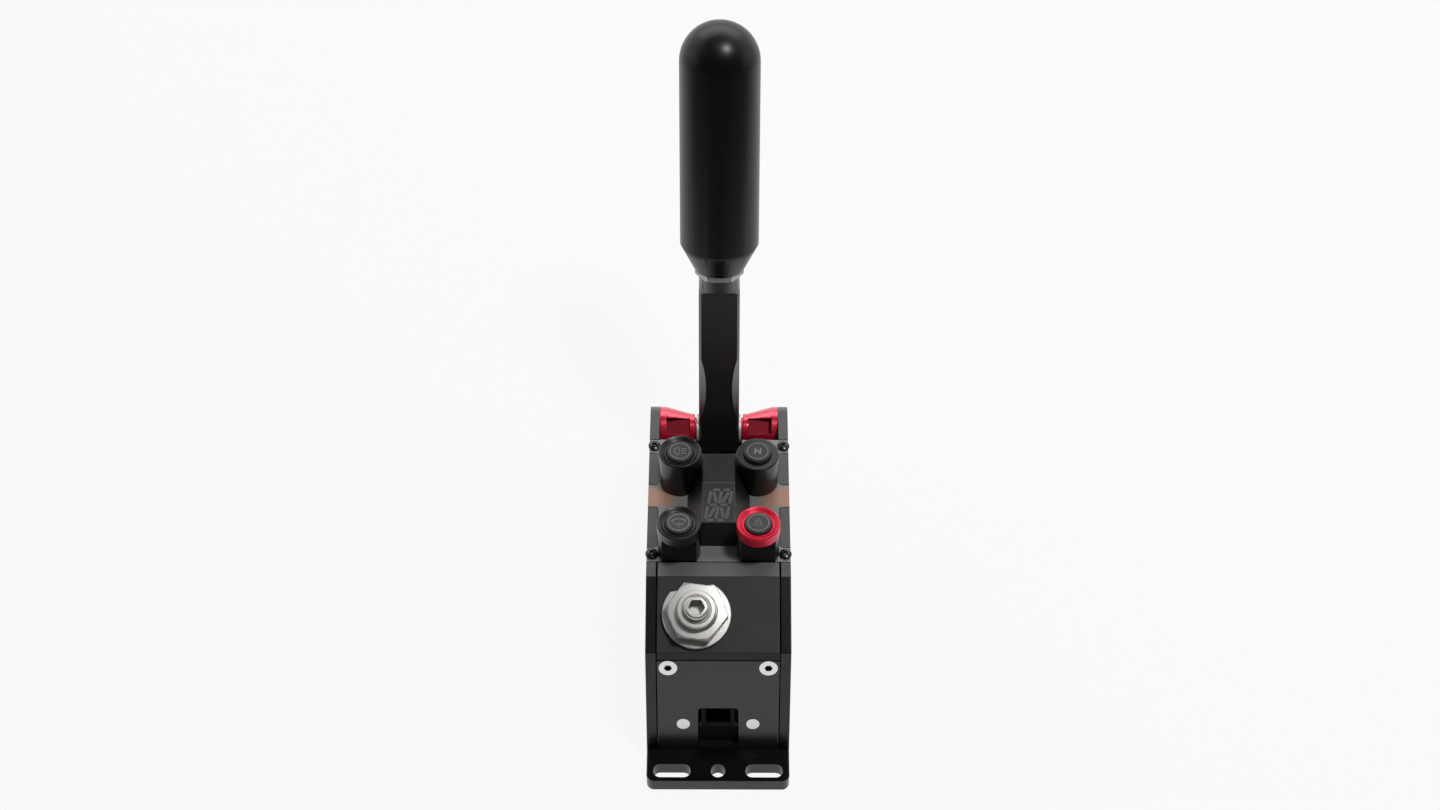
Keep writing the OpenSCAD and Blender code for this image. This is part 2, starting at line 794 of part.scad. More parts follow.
module bezel(side, along, drop, dish) {
    radius = bezel_d / 2;
    bore = cap_d / 2 + slide_gap;
    top_frame() translate([side * button_x, along, tower_top - drop]) rotate_extrude() polygon([
        [bore, 0], [radius, 0], [radius, bezel_height - bezel_edge], [radius - bezel_edge, bezel_height],
        [radius - bezel_rim, bezel_height], [bezel_mouth / 2, bezel_height - dish], [bore, bezel_height - dish]]);
}

module rear_left_bezel() {
    color("#262628") bezel(left, button_rear, 0, bezel_dish);
}

module rear_right_bezel() {
    color("#262628") bezel(right, button_rear, bezel_step, flat);
}

module front_left_bezel() {
    color("#262628") bezel(left, button_front, 0, bezel_dish);
}

module front_right_bezel() {
    color("#c02038") bezel(right, button_front, 0, bezel_dish);
}

module button_cap(side, along, drop) {
    disc_bottom = tower_top - drop + button_travel + part_gap;
    color("#5a5a5c") top_frame() translate([side * button_x, along, 0]) rotate_extrude() polygon([
        [0, stem_bottom], [cap_stem_d / 2, stem_bottom], [cap_stem_d / 2, disc_bottom],
        [cap_d / 2, disc_bottom], [cap_d / 2, cap_top - cap_edge], [cap_d / 2 - cap_edge, cap_top],
        [0, cap_top]]);
}

module rear_left_button() {
    button_cap(left, button_rear, 0);
}

module rear_right_button() {
    button_cap(right, button_rear, bezel_step);
}

module front_left_button() {
    button_cap(left, button_front, 0);
}

module front_right_button() {
    button_cap(right, button_front, 0);
}

module display_housing() {
    foot = hood_foot_width / 2;
    brow = hood_top_width / 2;
    window_end = hood_front + hood_window;
    color("#151517") top_frame() difference() {
        intersection() {
            translate([0, hood_end + hood_skirt + cut, 0]) rotate([90, 0, 0])
                linear_extrude(hood_length + 2 * (hood_skirt + cut))
                    polygon([[-foot, 0], [foot, 0], [brow, hood_height], [-brow, hood_height]]);
            across(-foot, foot) polygon([
                [hood_front - hood_skirt, 0], [hood_front, hood_height], [window_end, hood_height],
                [hood_end, hood_height - hood_fall], [hood_end + hood_skirt, 0]]);
        }
        tower_places() translate([0, 0, -cut])
            cylinder(d = max(tower_d, bezel_d) + 2 * tower_clear, h = hood_height + 2 * cut);
        translate([-module_half - fit, module_front - fit, -cut])
            cube([2 * (module_half + fit), module_length + 2 * fit, hood_height - hood_wall + cut]);
    }
}

module display_module() {
    color("#1b1b1d") top_frame()
        translate([-module_half, module_front, -board_drop])
            cube([2 * module_half, module_length, module_top + board_drop]);
}

module control_board() {
    color("#1f4a33") top_frame() difference() {
        translate([-board_half, board_start, -board_drop - board_thickness])
            cube([2 * board_half, board_end - board_start, board_thickness]);
        for (side = sides, along = boss_lines)
            translate([side * boss_x, along, -board_drop - board_thickness - cut])
                cylinder(d = board_screw_d + 2 * screw_clear, h = board_thickness + 2 * cut);
    }
}

module button_switches() {
    plunger_d = 3.4;
    plunger_height = 1;
    body_height = switch_height - plunger_height;
    color("#2a2a2c") top_frame() tower_places() {
        translate([-switch_size / 2, -switch_size / 2, -board_drop])
            cube([switch_size, switch_size, body_height]);
        translate([0, 0, body_height - board_drop])
            cylinder(d = plunger_d, h = plunger_height);
    }
}

module cover_screws() {
    color("#1c1c1e") top_frame() for (side = sides, along = [cover_land_front, cover_land_rear])
        translate([side * edge_x, along, 0]) button_head_screw();
}

module board_screws() {
    head_d = 4;
    head_height = 1.4;
    color("silver") top_frame() for (side = sides, along = boss_lines)
        translate([side * boss_x, along, -board_drop - board_thickness]) {
            translate([0, 0, -head_height]) cylinder(d = head_d, h = head_height);
            cylinder(d = board_screw_d, h = board_thickness + board_drop - cover_thickness - part_gap);
        }
}

module front_plate_screws() {
    color("silver") front_frame() for (side = sides)
        translate([side * front_screw_spacing / 2, 0, front_screw_up]) rotate([90, 0, 0])
            countersunk_screw(front_screw_d, front_head_d, front_screw_length);
}

module side_screws() {
    color("#1c1c1e") for (side = sides, point = side_screw_points)
        side_frame(side, point) countersunk_screw(small_screw_d, small_head_d, side_screw_length);
}

module base_screws() {
    color("#1c1c1e") for (point = base_screw_points) translate([point[0], point[1], 0]) mirror([0, 0, 1])
        countersunk_screw(small_screw_d, small_head_d, base_screw_length);
}

// Pivot

module bearing_seat(side) {
    cone_end = seat_length - seat_boss - seat_end_rim;
    collar_end = seat_length - seat_boss;
    color("#b81530") seat_frame(side) difference() {
        rotate(pocket_phase + 180 / pocket_count) rotate_extrude() polygon([
            [bearing_d / 2 + fit, -spigot_depth], [spigot_radius, -spigot_depth], [spigot_radius, 0],
            [pivot_drop, 0], [pivot_drop, seat_rim], [seat_end_radius, cone_end],
            [seat_end_radius, collar_end], [seat_boss_radius, collar_end], [seat_boss_radius, seat_length],
            [seat_bore_radius, seat_length], [seat_bore_radius, bearing_width - spigot_depth],
            [bearing_d / 2 + fit, bearing_width - spigot_depth]]);
        for (step = [0:pocket_count - 1]) rotate(pocket_phase + step * 360 / pocket_count)
            translate([pocket_floor, -pocket_width / 2, seat_rim + pocket_inset])
                cube([pivot_drop, pocket_width, cone_end - seat_rim - 2 * pocket_inset]);
    }
}

module left_bearing_seat() {
    bearing_seat(left);
}

module right_bearing_seat() {
    bearing_seat(right);
}

module bearing_outer_rings() {
    shield_radius = axle_d / 2 + race_wall + race_gap;
    color("silver") for (side = sides) seat_frame(side)
        translate([0, 0, -spigot_depth]) ring(bearing_d / 2, shield_radius, bearing_width);
}

module bearing_inner_rings() {
    color("silver") for (side = sides) seat_frame(side)
        translate([0, 0, -spigot_depth]) ring(axle_d / 2 + race_wall, axle_d / 2 + fit, bearing_width);
}

module thrust_washers() {
    color("silver") for (side = sides) seat_frame(side)
        translate([0, 0, inner_face - thrust_outer]) ring(thrust_d / 2, axle_d / 2 + fit, thrust_thickness);
}

module pivot_axle() {
    color("silver") translate([-axle_half, pivot[0], pivot[1]]) rotate([0, 90, 0])
        cylinder(d = axle_d, h = 2 * axle_half);
}

// Lever

module scallop_cutters() {
    depth = scallop_width * sin(scallop_turn);
    reach = 2 * lever_thickness;
    for (side = sides, face = sides)
        translate([side * lever_half, face * lever_thickness / 2, scallop_middle])
            rotate([0, 0, scallop_turn * side * face]) translate([side * (scallop_radius - depth), 0, 0])
                rotate([90, 0, 0])
                cylinder(r = scallop_radius, h = reach, center = true);
}

module lever_section() {
    edge = lever_chamfer;
    wide = lever_half;
    deep = lever_thickness / 2;
    polygon([
        [-wide + edge, -deep], [wide - edge, -deep], [wide, -deep + edge], [wide, deep - edge],
        [wide - edge, deep], [-wide + edge, deep], [-wide, deep - edge], [-wide, -deep + edge]]);
}

module lever_bar() {
    color("#26262a") lever_frame() difference() {
        union() {
            difference() {
                translate([0, 0, -tab_end]) linear_extrude(head_start + tab_end) lever_section();
                scallop_cutters();
            }
            difference() {
                translate([0, 0, arch_middle]) cylinder(r = lever_half, h = lever_top - arch_middle);
                for (face = sides)
                    translate([0, face * (lever_thickness / 2 + lever_width / 2), arch_middle])
                        rotate([90, 0, 0]) cylinder(r = arch_radius, h = lever_width, center = true);
            }
        }
        rotate([0, 90, 0]) cylinder(r = axle_d / 2 + fit, h = lever_width + 2 * cut, center = true);
        translate([tab_split, -lever_width, -2 * tab_end])
            cube([lever_width, 2 * lever_width, 2 * tab_end - tab_drop + tab_radius + part_gap]);
        translate([0, 0, lever_top - stud_depth]) cylinder(d = stud_d + 2 * fit, h = stud_depth + cut);
        arm_bolt_places() translate([0, 0, -lever_width])
            cylinder(d = arm_bolt_d + 2 * fit, h = 2 * lever_width);
    }
}

// Places of the bolts that hold the rocker arm to the lever's tab, with +Z to the right
module arm_bolt_places() {
    for (step = sides) translate([0, 0, -tab_drop + step * arm_bolt_pitch / 2])
        rotate([0, 90, 0]) children();
}

module rocker_arm() {
    color("#4a4a4e") difference() {
        union() {
            across(arm_left, arm_right) {
                translate(arm_root) circle(r = tab_radius);
                translate(arm_end) rotate(arm_angle) translate([-arm_nose, -arm_height / 2])
                    square([arm_length + arm_nose, arm_height]);
            }
            arm_eye(eye_wall, eye_thickness);
            rod_frame() translate([neck_start, -slot_slide, -arm_depth - eye_thickness / 2])
                cube([rod_offset + arm_right - neck_start, 2 * slot_slide, eye_thickness]);
        }
        arm_eye(0, nut_face);
        lever_frame() arm_bolt_places() translate([0, 0, -lever_width])
            cylinder(d = arm_bolt_d + 2 * fit, h = 2 * lever_width);
    }
}

// Oblong round the rod, drawn out along the arm, grown by a wall
module arm_eye(wall, height) {
    radius = slot_half_width + wall;
    rod_frame() translate([0, 0, -arm_depth - height / 2]) {
        for (end = sides) translate([0, end * slot_slide, 0]) cylinder(r = radius, h = height);
        translate([-radius, -slot_slide, 0]) cube([2 * radius, 2 * slot_slide, height]);
    }
}

module arm_screws() {
    color("#1c1c1e") lever_frame() arm_bolt_places() {
        translate([0, 0, -lever_half]) cylinder(d = arm_bolt_d, h = lever_half + arm_right);
        translate([0, 0, -lever_half - arm_bolt_head_height])
            cylinder(d = arm_bolt_head_d, h = arm_bolt_head_height);
    }
}

module sensor_magnet() {
    color("silver") translate([arm_right, magnet_point[0], magnet_point[1]]) rotate([0, 90, 0])
        cylinder(d = magnet_d, h = magnet_height);
}

module sensor_board() {
    color("#1f4a33") translate([sensor_x, magnet_point[0] - sensor_half, base_thickness])
        cube([sensor_thickness, 2 * sensor_half, magnet_point[1] + magnet_d - base_thickness]);
}

module sensor_bracket() {
    color("#222224") difference() {
        translate([sensor_x + sensor_thickness, magnet_point[0] - sensor_half, base_thickness]) {
            cube([bracket_width, 2 * sensor_half, bracket_foot]);
            cube([bracket_wall, 2 * sensor_half, magnet_point[1] - base_thickness]);
        }
        base_tappings();
    }
}

// Handle

module jam_nut() {
    color("silver") lever_frame() translate([0, 0, jam_nut_start]) difference() {
        hex_bar(jam_nut_flats, jam_nut_height);
        translate([0, 0, -cut]) cylinder(d = stud_d + 2 * fit, h = jam_nut_height + 2 * cut);
    }
}

module handle_stud() {
    color("silver") lever_frame() translate([0, 0, lever_top - stud_depth + part_gap])
        cylinder(d = stud_d, h = stud_depth + stud_reach);
}

module handle_profile() {
    radius = handle_d / 2;
    polygon([
        [0, 0], [handle_foot_d / 2, 0], [radius, handle_cone],
        [radius, handle_length - radius], [0, handle_length - radius]]);
    translate([0, handle_length - radius]) intersection() {
        circle(r = radius);
        square(radius);
    }
}

module handle_grip() {
    color("#1a1a1c") lever_frame() translate([0, 0, handle_start]) difference() {
        rotate_extrude() handle_profile();
        translate([0, 0, -cut]) cylinder(d = stud_d + 2 * fit, h = stud_reach + cut);
    }
}

// Preload

module preload_washer() {
    color("silver") rod_frame() difference() {
        ring(washer_d / 2, rod_d / 2 + rod_clear, washer_thickness);
        rotate(washer_turn) translate([-washer_d / 2, washer_flat, -cut])
            cube([washer_d, washer_d / 2, washer_thickness + 2 * cut]);
    }
}

module preload_nut() {
    color("silver") rod_frame() difference() {
        union() {
            translate([0, 0, washer_thickness]) rotate(-nut_turn) hex_bar(nut_flats, nut_height);
            translate([0, 0, nut_top - fit])
                cylinder(d1 = collar_foot_d, d2 = collar_top_d, h = collar_height + fit);
        }
        cylinder(r = rod_d / 2 + slide_gap, h = nut_top + collar_height + cut);
        translate([0, 0, nut_top + collar_height - insert_height])
            cylinder(r = rod_d / 2 + insert_wall, h = insert_height + cut);
    }
}

module nut_insert() {
    color("#d8d8d2") rod_frame() translate([0, 0, nut_top + collar_height - insert_height])
        ring(rod_d / 2 + insert_wall, rod_d / 2 + slide_gap, insert_height - slide_gap);
}

module preload_rod() {
    radius = rod_d / 2;
    color("silver") rod_frame() difference() {
        rotate_extrude() polygon([
            [0, -rod_end], [radius - rod_edge, -rod_end], [radius, -rod_end + rod_edge],
            [radius, rod_stand - rod_edge], [radius - rod_edge, rod_stand], [0, rod_stand]]);
        translate([0, 0, rod_stand - rod_socket_depth])
            cylinder(d = rod_socket / cos(180 / hex), h = rod_socket_depth + cut, $fn = hex);
    }
}

module rod_seat() {
    color("silver") rod_frame() translate([0, 0, -rod_seat_start - rod_seat_thickness])
        ring(rod_seat_d / 2, rod_d / 2 + fit, rod_seat_thickness);
}

module rod_lock_nut() {
    foot = rod_seat_start + rod_seat_thickness + lock_nut_height;
    color("silver") rod_frame() translate([0, 0, -foot]) difference() {
        hex_bar(lock_nut_flats, lock_nut_height);
        translate([0, 0, -cut]) cylinder(r = rod_d / 2 + fit, h = lock_nut_height + 2 * cut);
    }
}

function helix_point(height, step, steps) =
    let (turn = 360 * spring_turns * step / steps)
    [spring_d / 2 * cos(turn), spring_d / 2 * sin(turn), wire_d / 2 + (height - wire_d) * step / steps];

// Ring of wire points round one point of the helix
function wire_ring(height, step, steps) =
    let (turn = 360 * spring_turns * step / steps, middle = helix_point(height, step, steps))
    [for (side = [0:wire_sides - 1]) let (around = 360 * side / wire_sides)
        middle + wire_d / 2 * [cos(around) * cos(turn), cos(around) * sin(turn), sin(around)]];

function wire_gap(height, steps) =
    min([for (step = [0:steps - curl_rings])
        norm(helix_point(height, step + curl_rings, steps) - helix_point(height, step, steps)) - wire_d]);

module coil_spring(height) {
    steps = round(spring_turns * curl_rings);
    points = [for (step = [0:steps]) each wire_ring(height, step, steps)];
    walls = [for (step = [0:steps - 1], side = [0:wire_sides - 1])
        let (next = (side + 1) % wire_sides, low = step * wire_sides, high = low + wire_sides)
        each [[low + side, high + side, high + next], [low + side, high + next, low + next]]];
    first = [for (side = [1:wire_sides - 2]) [0, side, side + 1]];
    start = steps * wire_sides;
    last = [for (side = [1:wire_sides - 2]) [start, start + side + 1, start + side]];
    echo(least_gap = wire_gap(height, steps));
    polyhedron(points = points, faces = concat(walls, first, last));
}

module upper_spring() {
    color("#8a8a90") rod_frame() translate([0, 0, -upper_spring_end])
        coil_spring(upper_spring_end - upper_spring_start);
}

module lower_spring() {
    color("#8a8a90") rod_frame() translate([0, 0, -lower_spring_end]) coil_spring(lower_spring_height);
}

module left_side_plate() {
    side_plate(left);
}

module right_side_plate() {
    side_plate(right);
}

base_plate();
left_side_plate();
right_side_plate();
front_block();
front_plate();
rear_plate();
top_cover();
port_block();
data_port();
port_board();
display_housing();
display_module();
control_board();
button_switches();
rear_left_bezel();
rear_right_bezel();
front_left_bezel();
front_right_bezel();
rear_left_button();
rear_right_button();
front_left_button();
front_right_button();
left_bearing_seat();
right_bearing_seat();
bearing_outer_rings();
bearing_inner_rings();
thrust_washers();
pivot_axle();
lever_bar();
rocker_arm();
arm_screws();
sensor_magnet();
sensor_board();
sensor_bracket();
jam_nut();
handle_stud();
handle_grip();
preload_washer();
preload_nut();
nut_insert();
preload_rod();
rod_seat();
rod_lock_nut();
upper_spring();
lower_spring();
cover_screws();
board_screws();
front_plate_screws();
front_dowels();
side_screws();
base_screws();
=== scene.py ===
"""Looks of a sequential shifter for a racing simulator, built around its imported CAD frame.

The frame gives every place and size. This script softens the edges of the machined pieces, gives each
piece its finish, prints the signs on the buttons, lays the unlit character and the seam into the display,
winds the springs and sets up the studio.
"""

from __future__ import annotations

import json
import logging
import math
from dataclasses import dataclass, replace
from enum import Enum, StrEnum
from typing import Any, Optional, Sequence, Union

import bmesh
import bpy
from mathutils import Matrix, Vector

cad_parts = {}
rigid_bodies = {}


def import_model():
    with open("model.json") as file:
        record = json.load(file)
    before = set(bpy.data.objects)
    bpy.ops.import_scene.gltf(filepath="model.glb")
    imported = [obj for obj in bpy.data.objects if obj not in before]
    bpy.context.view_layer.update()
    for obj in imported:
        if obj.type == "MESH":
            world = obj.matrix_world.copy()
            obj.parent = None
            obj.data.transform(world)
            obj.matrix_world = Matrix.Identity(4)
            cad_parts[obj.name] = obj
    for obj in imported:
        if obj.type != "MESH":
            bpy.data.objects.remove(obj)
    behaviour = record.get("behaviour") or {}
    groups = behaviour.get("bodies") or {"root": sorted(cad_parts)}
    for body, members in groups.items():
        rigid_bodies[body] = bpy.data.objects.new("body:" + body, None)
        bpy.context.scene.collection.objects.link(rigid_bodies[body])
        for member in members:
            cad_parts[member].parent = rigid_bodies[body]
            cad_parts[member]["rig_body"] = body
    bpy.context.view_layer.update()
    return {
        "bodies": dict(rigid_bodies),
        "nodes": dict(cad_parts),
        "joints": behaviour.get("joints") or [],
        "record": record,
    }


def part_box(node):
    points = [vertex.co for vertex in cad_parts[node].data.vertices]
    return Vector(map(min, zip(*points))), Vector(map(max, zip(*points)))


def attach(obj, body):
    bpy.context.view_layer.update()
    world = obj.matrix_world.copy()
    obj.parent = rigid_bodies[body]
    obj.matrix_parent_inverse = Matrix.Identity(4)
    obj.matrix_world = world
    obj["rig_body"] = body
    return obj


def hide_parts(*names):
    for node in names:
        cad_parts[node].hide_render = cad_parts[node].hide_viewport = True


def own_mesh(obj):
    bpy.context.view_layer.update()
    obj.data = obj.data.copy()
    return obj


log = logging.getLogger("shifter")

MM = 0.001
RIGHT = Vector((1.0, 0.0, 0.0))
WHITE = (1.0, 1.0, 1.0, 1.0)

Colour = tuple[float, float, float]
Spot = tuple[float, float, float]
Flat = tuple[float, float]
Stroke = list[Flat]
Frame = dict[str, Any]


class Body(StrEnum):
    """Bodies that carry the drawn and wound pieces, as the record names them."""

    HOUSING = "housing"
    ROD = "rod"


class Sign(Enum):
    """Signs on the button caps."""

    LAMP = "lamp"
    NEUTRAL = "neutral"
    WASHER = "washer"
    HAZARD = "hazard"


class Edges(Enum):
    """Which edges of a copied piece are rounded."""

    NONE = "none"
    STRAIGHT = "straight"
    ALL = "all"


# Node graphs


class Socket:
    """Output of a node that takes part in Python expressions.

    Args:
        graph: Graph that new Math nodes go into.
        socket: Output socket of a node.
    """

    def __init__(self, graph: Graph, socket: bpy.types.NodeSocket) -> None:
        """Keeps the graph and the socket."""
        self.graph = graph
        self.socket = socket

    def _math(self, operation: str, first: Value, second: Value) -> Socket:
        """Adds a Math node.

        Args:
            operation: Name of the Math node's operation.
            first: First operand.
            second: Second operand.

        Returns:
            The node's result.
        """
        return self.graph.node("ShaderNodeMath", {"operation": operation}, {0: first, 1: second})

    def __add__(self, other: Value) -> Socket:
        """Sum of the two."""
        return self._math("ADD", self, other)

    __radd__ = __add__

    def __sub__(self, other: Value) -> Socket:
        """This less the other."""
        return self._math("SUBTRACT", self, other)

    def __rsub__(self, other: Value) -> Socket:
        """The other less this."""
        return self._math("SUBTRACT", other, self)

    def __mul__(self, other: Value) -> Socket:
        """Product of the two."""
        return self._math("MULTIPLY", self, other)

    __rmul__ = __mul__

    def __abs__(self) -> Socket:
        """Distance from zero."""
        return self._math("ABSOLUTE", self, 0.0)

    def larger(self, other: Value) -> Socket:
        """The larger of the two."""
        return self._math("MAXIMUM", self, other)

    def clamped(self) -> Socket:
        """The result of a Math node, kept between zero and one."""
        self.socket.node.use_clamp = True
        return self


Value = Union[Socket, float, int, bool, tuple, bpy.types.Material]


class Graph:
    """Node tree with one method that makes any node.

    Args:
        tree: Shader or geometry node tree.
    """

    def __init__(self, tree: bpy.types.NodeTree) -> None:
        """Keeps the tree."""
        self.tree = tree

    def node(
        self,
        kind: str,
        settings: Optional[dict[str, Any]] = None,
        inputs: Optional[dict[Union[str, int], Value]] = None,
        output: Union[str, int] = 0,
    ) -> Socket:
        """Makes a node and feeds its sockets.

        Args:
            kind: Type of the node.
            settings: Properties of the node, set first.
            inputs: Values or links by socket name or number.
            output: Name or number of the output that is handed back.

        Returns:
            That output, or the node's first input where the node has none.
        """
        made = self.tree.nodes.new(kind)
        for name, value in (settings or {}).items():
            setattr(made, name, value)
        for name, value in (inputs or {}).items():
            self.feed(made.inputs[name], value)
        return Socket(self, made.outputs[output] if made.outputs else made.inputs[0])

    def feed(self, target: bpy.types.NodeSocket, value: Value) -> None:
        """Links a socket to an input, or sets the input's own value.

        Args:
            target: Input of a node.
            value: Socket or constant.
        """
        if isinstance(value, Socket):
            self.tree.links.new(value.socket, target)
        else:
            target.default_value = value


# Finishes

# Middle of the values of a noise texture
NOISE_MIDDLE = 0.5
# Detail of the noise in sheen, grain and lathe rings
NOISE_DETAIL = 2.0
# Length of one ring of the wave texture at a scale of one
WAVE_LENGTH = 0.314
# Sockets of a Mix node that mixes colours
MIX_SHARE, MIX_FIRST, MIX_SECOND, MIX_RESULT = 0, 6, 7, 2


@dataclass(frozen=True)
class Finish:
    """A surface with an even colour, an uneven sheen and a fine grain."""

    name: str
    colour: Colour
    roughness: float
    metallic: float = 0.0
    specular: float = 0.5
    coat: float = 0.0
    coat_roughness: float = 0.1
    sheen_change: float = 0.08
    sheen_size: float = 9 * MM
    grain_size: float = 0.0
    grain_depth: float = 0.0

    def material(self) -> bpy.types.Material:
        """Builds the finish once.

        Returns:
            The material, named apart from the imported ones.
        """
        label = self.name + "_look"
        known = bpy.data.materials.get(label)
        if known is not None:
            return known
        made = bpy.data.materials.new(label)
        made.use_nodes = True
        graph = Graph(made.node_tree)
        shader = made.node_tree.nodes["Principled BSDF"]
        constants: dict[str, Value] = {
            "Base Color": (*self.colour, 1.0),
            "Roughness": self.roughness,
            "Metallic": self.metallic,
            "Specular IOR Level": self.specular,
            "Coat Weight": self.coat,
            "Coat Roughness": self.coat_roughness,
        }
        for name, value in constants.items():
            graph.feed(shader.inputs[name], value)
        place = graph.node("ShaderNodeTexCoord", output="Object")
        clouds = self.noise(graph, place, self.sheen_size)
        change = (clouds - NOISE_MIDDLE) * self.sheen_change
        graph.feed(shader.inputs["Roughness"], self.roughness + change)
        paint = self.paint(graph, place)
        if paint is not None:
            graph.feed(shader.inputs["Base Color"], paint)
        relief = self.relief(graph, place)
        if relief is not None:
            graph.feed(shader.inputs["Normal"], relief)
        return made

    def paint(self, graph: Graph, place: Socket) -> Optional[Socket]:
        """Colour that changes over the surface, or None where it is even."""
        return None

    def relief(self, graph: Graph, place: Socket) -> Optional[Socket]:
        """Fine grain of the surface.

        Args:
            graph: Graph of the material.
            place: Object coordinates.

        Returns:
            A normal, or None on a smooth surface.
        """
        if not self.grain_depth:
            return None
        grain = self.noise(graph, place, self.grain_size)
        return self.bump(graph, grain, self.grain_depth)

    @staticmethod
    def noise(graph: Graph, place: Socket, size: float) -> Socket:
        """Noise whose spots are about the given size."""
        inputs = {"Vector": place, "Scale": 1 / size, "Detail": NOISE_DETAIL}
        return graph.node("ShaderNodeTexNoise", None, inputs, "Fac")

    @staticmethod
    def bump(graph: Graph, height: Socket, depth: float) -> Socket:
        """Normal of a height that runs from zero to one over the given depth."""
        inputs = {"Height": height, "Strength": 1.0, "Distance": depth}
        return graph.node("ShaderNodeBump", None, inputs, "Normal")


@dataclass(frozen=True)
class TurnedFinish(Finish):
    """Metal with the fine rings and the slight crown that a lathe leaves round an axis.

    The crown is half the curvature of the faces, in 1/m.
    """

    centre: Spot = (0.0, 0.0, 0.0)
    tilt: float = 0.0
    ring_pitch: float = 0.5 * MM
    ring_depth: float = 0.004 * MM
    ring_waver: float = 0.6
    crown: float = 2.0

    def relief(self, graph: Graph, place: Socket) -> Optional[Socket]:
        """Rings round the axis on a face that falls off a little towards its rim.

        Args:
            graph: Graph of the material.
            place: Object coordinates.

        Returns:
            A normal.
        """
        turned = graph.node(
            "ShaderNodeMapping",
            {"vector_type": "TEXTURE"},
            {"Vector": place, "Location": self.centre, "Rotation": (self.tilt, 0.0, 0.0)},
        )
        rings = graph.node(
            "ShaderNodeTexWave",
            {"wave_type": "RINGS", "rings_direction": "Z"},
            {"Vector": turned, "Scale": WAVE_LENGTH / self.ring_pitch, "Distortion": self.ring_waver,
             "Detail": NOISE_DETAIL},
            "Fac",
        )
        across, along = (graph.node("ShaderNodeSeparateXYZ", None, {0: turned}, axis) for axis in "XY")
        fall = (across * across + along * along) * self.crown
        # The height is in metres already
        return self.bump(graph, rings * self.ring_depth - fall, 1.0)


@dataclass(frozen=True)
class PaintedHighlightFinish(Finish):
    """Satin surface with a painted highlight at each side, a warmer and lighter patch that stands in for the
    lamps' reflection.

    A patch reaches half its length to either side of the middle, and fades there and towards the inside.
    """

    painted_highlight: Colour = (0.45, 0.256, 0.182)
    along: Spot = (0.0, 1.0, 0.0)
    middle: float = 0.0
    half: float = 5.2 * MM
    fade: float = 1.5 * MM
    inner: float = 17 * MM
    outer: float = 23 * MM

    def paint(self, graph: Graph, place: Socket) -> Optional[Socket]:
        """Colour of the surface.

        Args:
            graph: Graph of the material.
            place: Object coordinates.

        Returns:
            The plain colour, with the painted highlight on each of the two patches.
        """
        run = graph.node(
            "ShaderNodeVectorMath", {"operation": "DOT_PRODUCT"}, {0: place, 1: self.along}, "Value")
        across = graph.node("ShaderNodeSeparateXYZ", None, {0: place}, "X")
        past = self.step(graph, run - self.middle, self.half - self.fade, self.half + self.fade)
        aside = self.step(graph, across, self.inner, self.outer)
        # Share of the painted highlight: inside the patches at the two sides
        share = (1 - past) * aside
        return graph.node(
            "ShaderNodeMix", {"data_type": "RGBA"},
            {MIX_SHARE: share, MIX_FIRST: (*self.colour, 1.0), MIX_SECOND: (*self.painted_highlight, 1.0)}, MIX_RESULT)

    @staticmethod
    def step(graph: Graph, distance: Socket, start: float, end: float) -> Socket:
        """Soft step over a distance that counts the same to either side.

        Args:
            graph: Graph of the material.
            distance: The distance, with its sign.
            start: Where the step starts.
            end: Where it ends.

        Returns:
            Zero before the step and one after it.
        """
        return graph.node(
            "ShaderNodeMapRange", {"interpolation_type": "SMOOTHSTEP"},
            {"Value": abs(distance), "From Min": start, "From Max": end})


BLACK_ANODISED = Finish(
    "black_anodised", (0.003, 0.0029, 0.0028), roughness=0.22, specular=0.42,
    grain_size=0.55 * MM, grain_depth=0.004 * MM)
BASE_ANODISED = replace(BLACK_ANODISED, name="base_anodised", roughness=0.2, specular=0.25, sheen_change=0.06)
FRONT_ANODISED = replace(
    BLACK_ANODISED, name="front_anodised", colour=(0.01, 0.0098, 0.0096), specular=0.6,
    grain_depth=0.006 * MM)
# Lighter copies of the black anodising for faces that look up: painted light
TAB_TOP_PAINTED_LIGHT = replace(
    BLACK_ANODISED, name="tab_top_painted_light", colour=(0.05, 0.0488, 0.0475), roughness=0.3, specular=0.5)
EAR_TOP_PAINTED_LIGHT = replace(TAB_TOP_PAINTED_LIGHT, name="satin_ear", colour=(0.08, 0.078, 0.076), specular=1.0)
BLOCK_ANODISED = Finish(
    "block_anodised", (0.0115, 0.0113, 0.011), roughness=0.5, specular=0.4, sheen_change=0.1,
    grain_size=0.7 * MM, grain_depth=0.04 * MM)
# Lighter copy of the block's anodising for its top: painted light
BLOCK_TOP_PAINTED_LIGHT = replace(
    BLOCK_ANODISED, name="block_top_painted_light", colour=(0.154, 0.151, 0.148), roughness=0.45, specular=0.5,
    grain_depth=0.03 * MM)
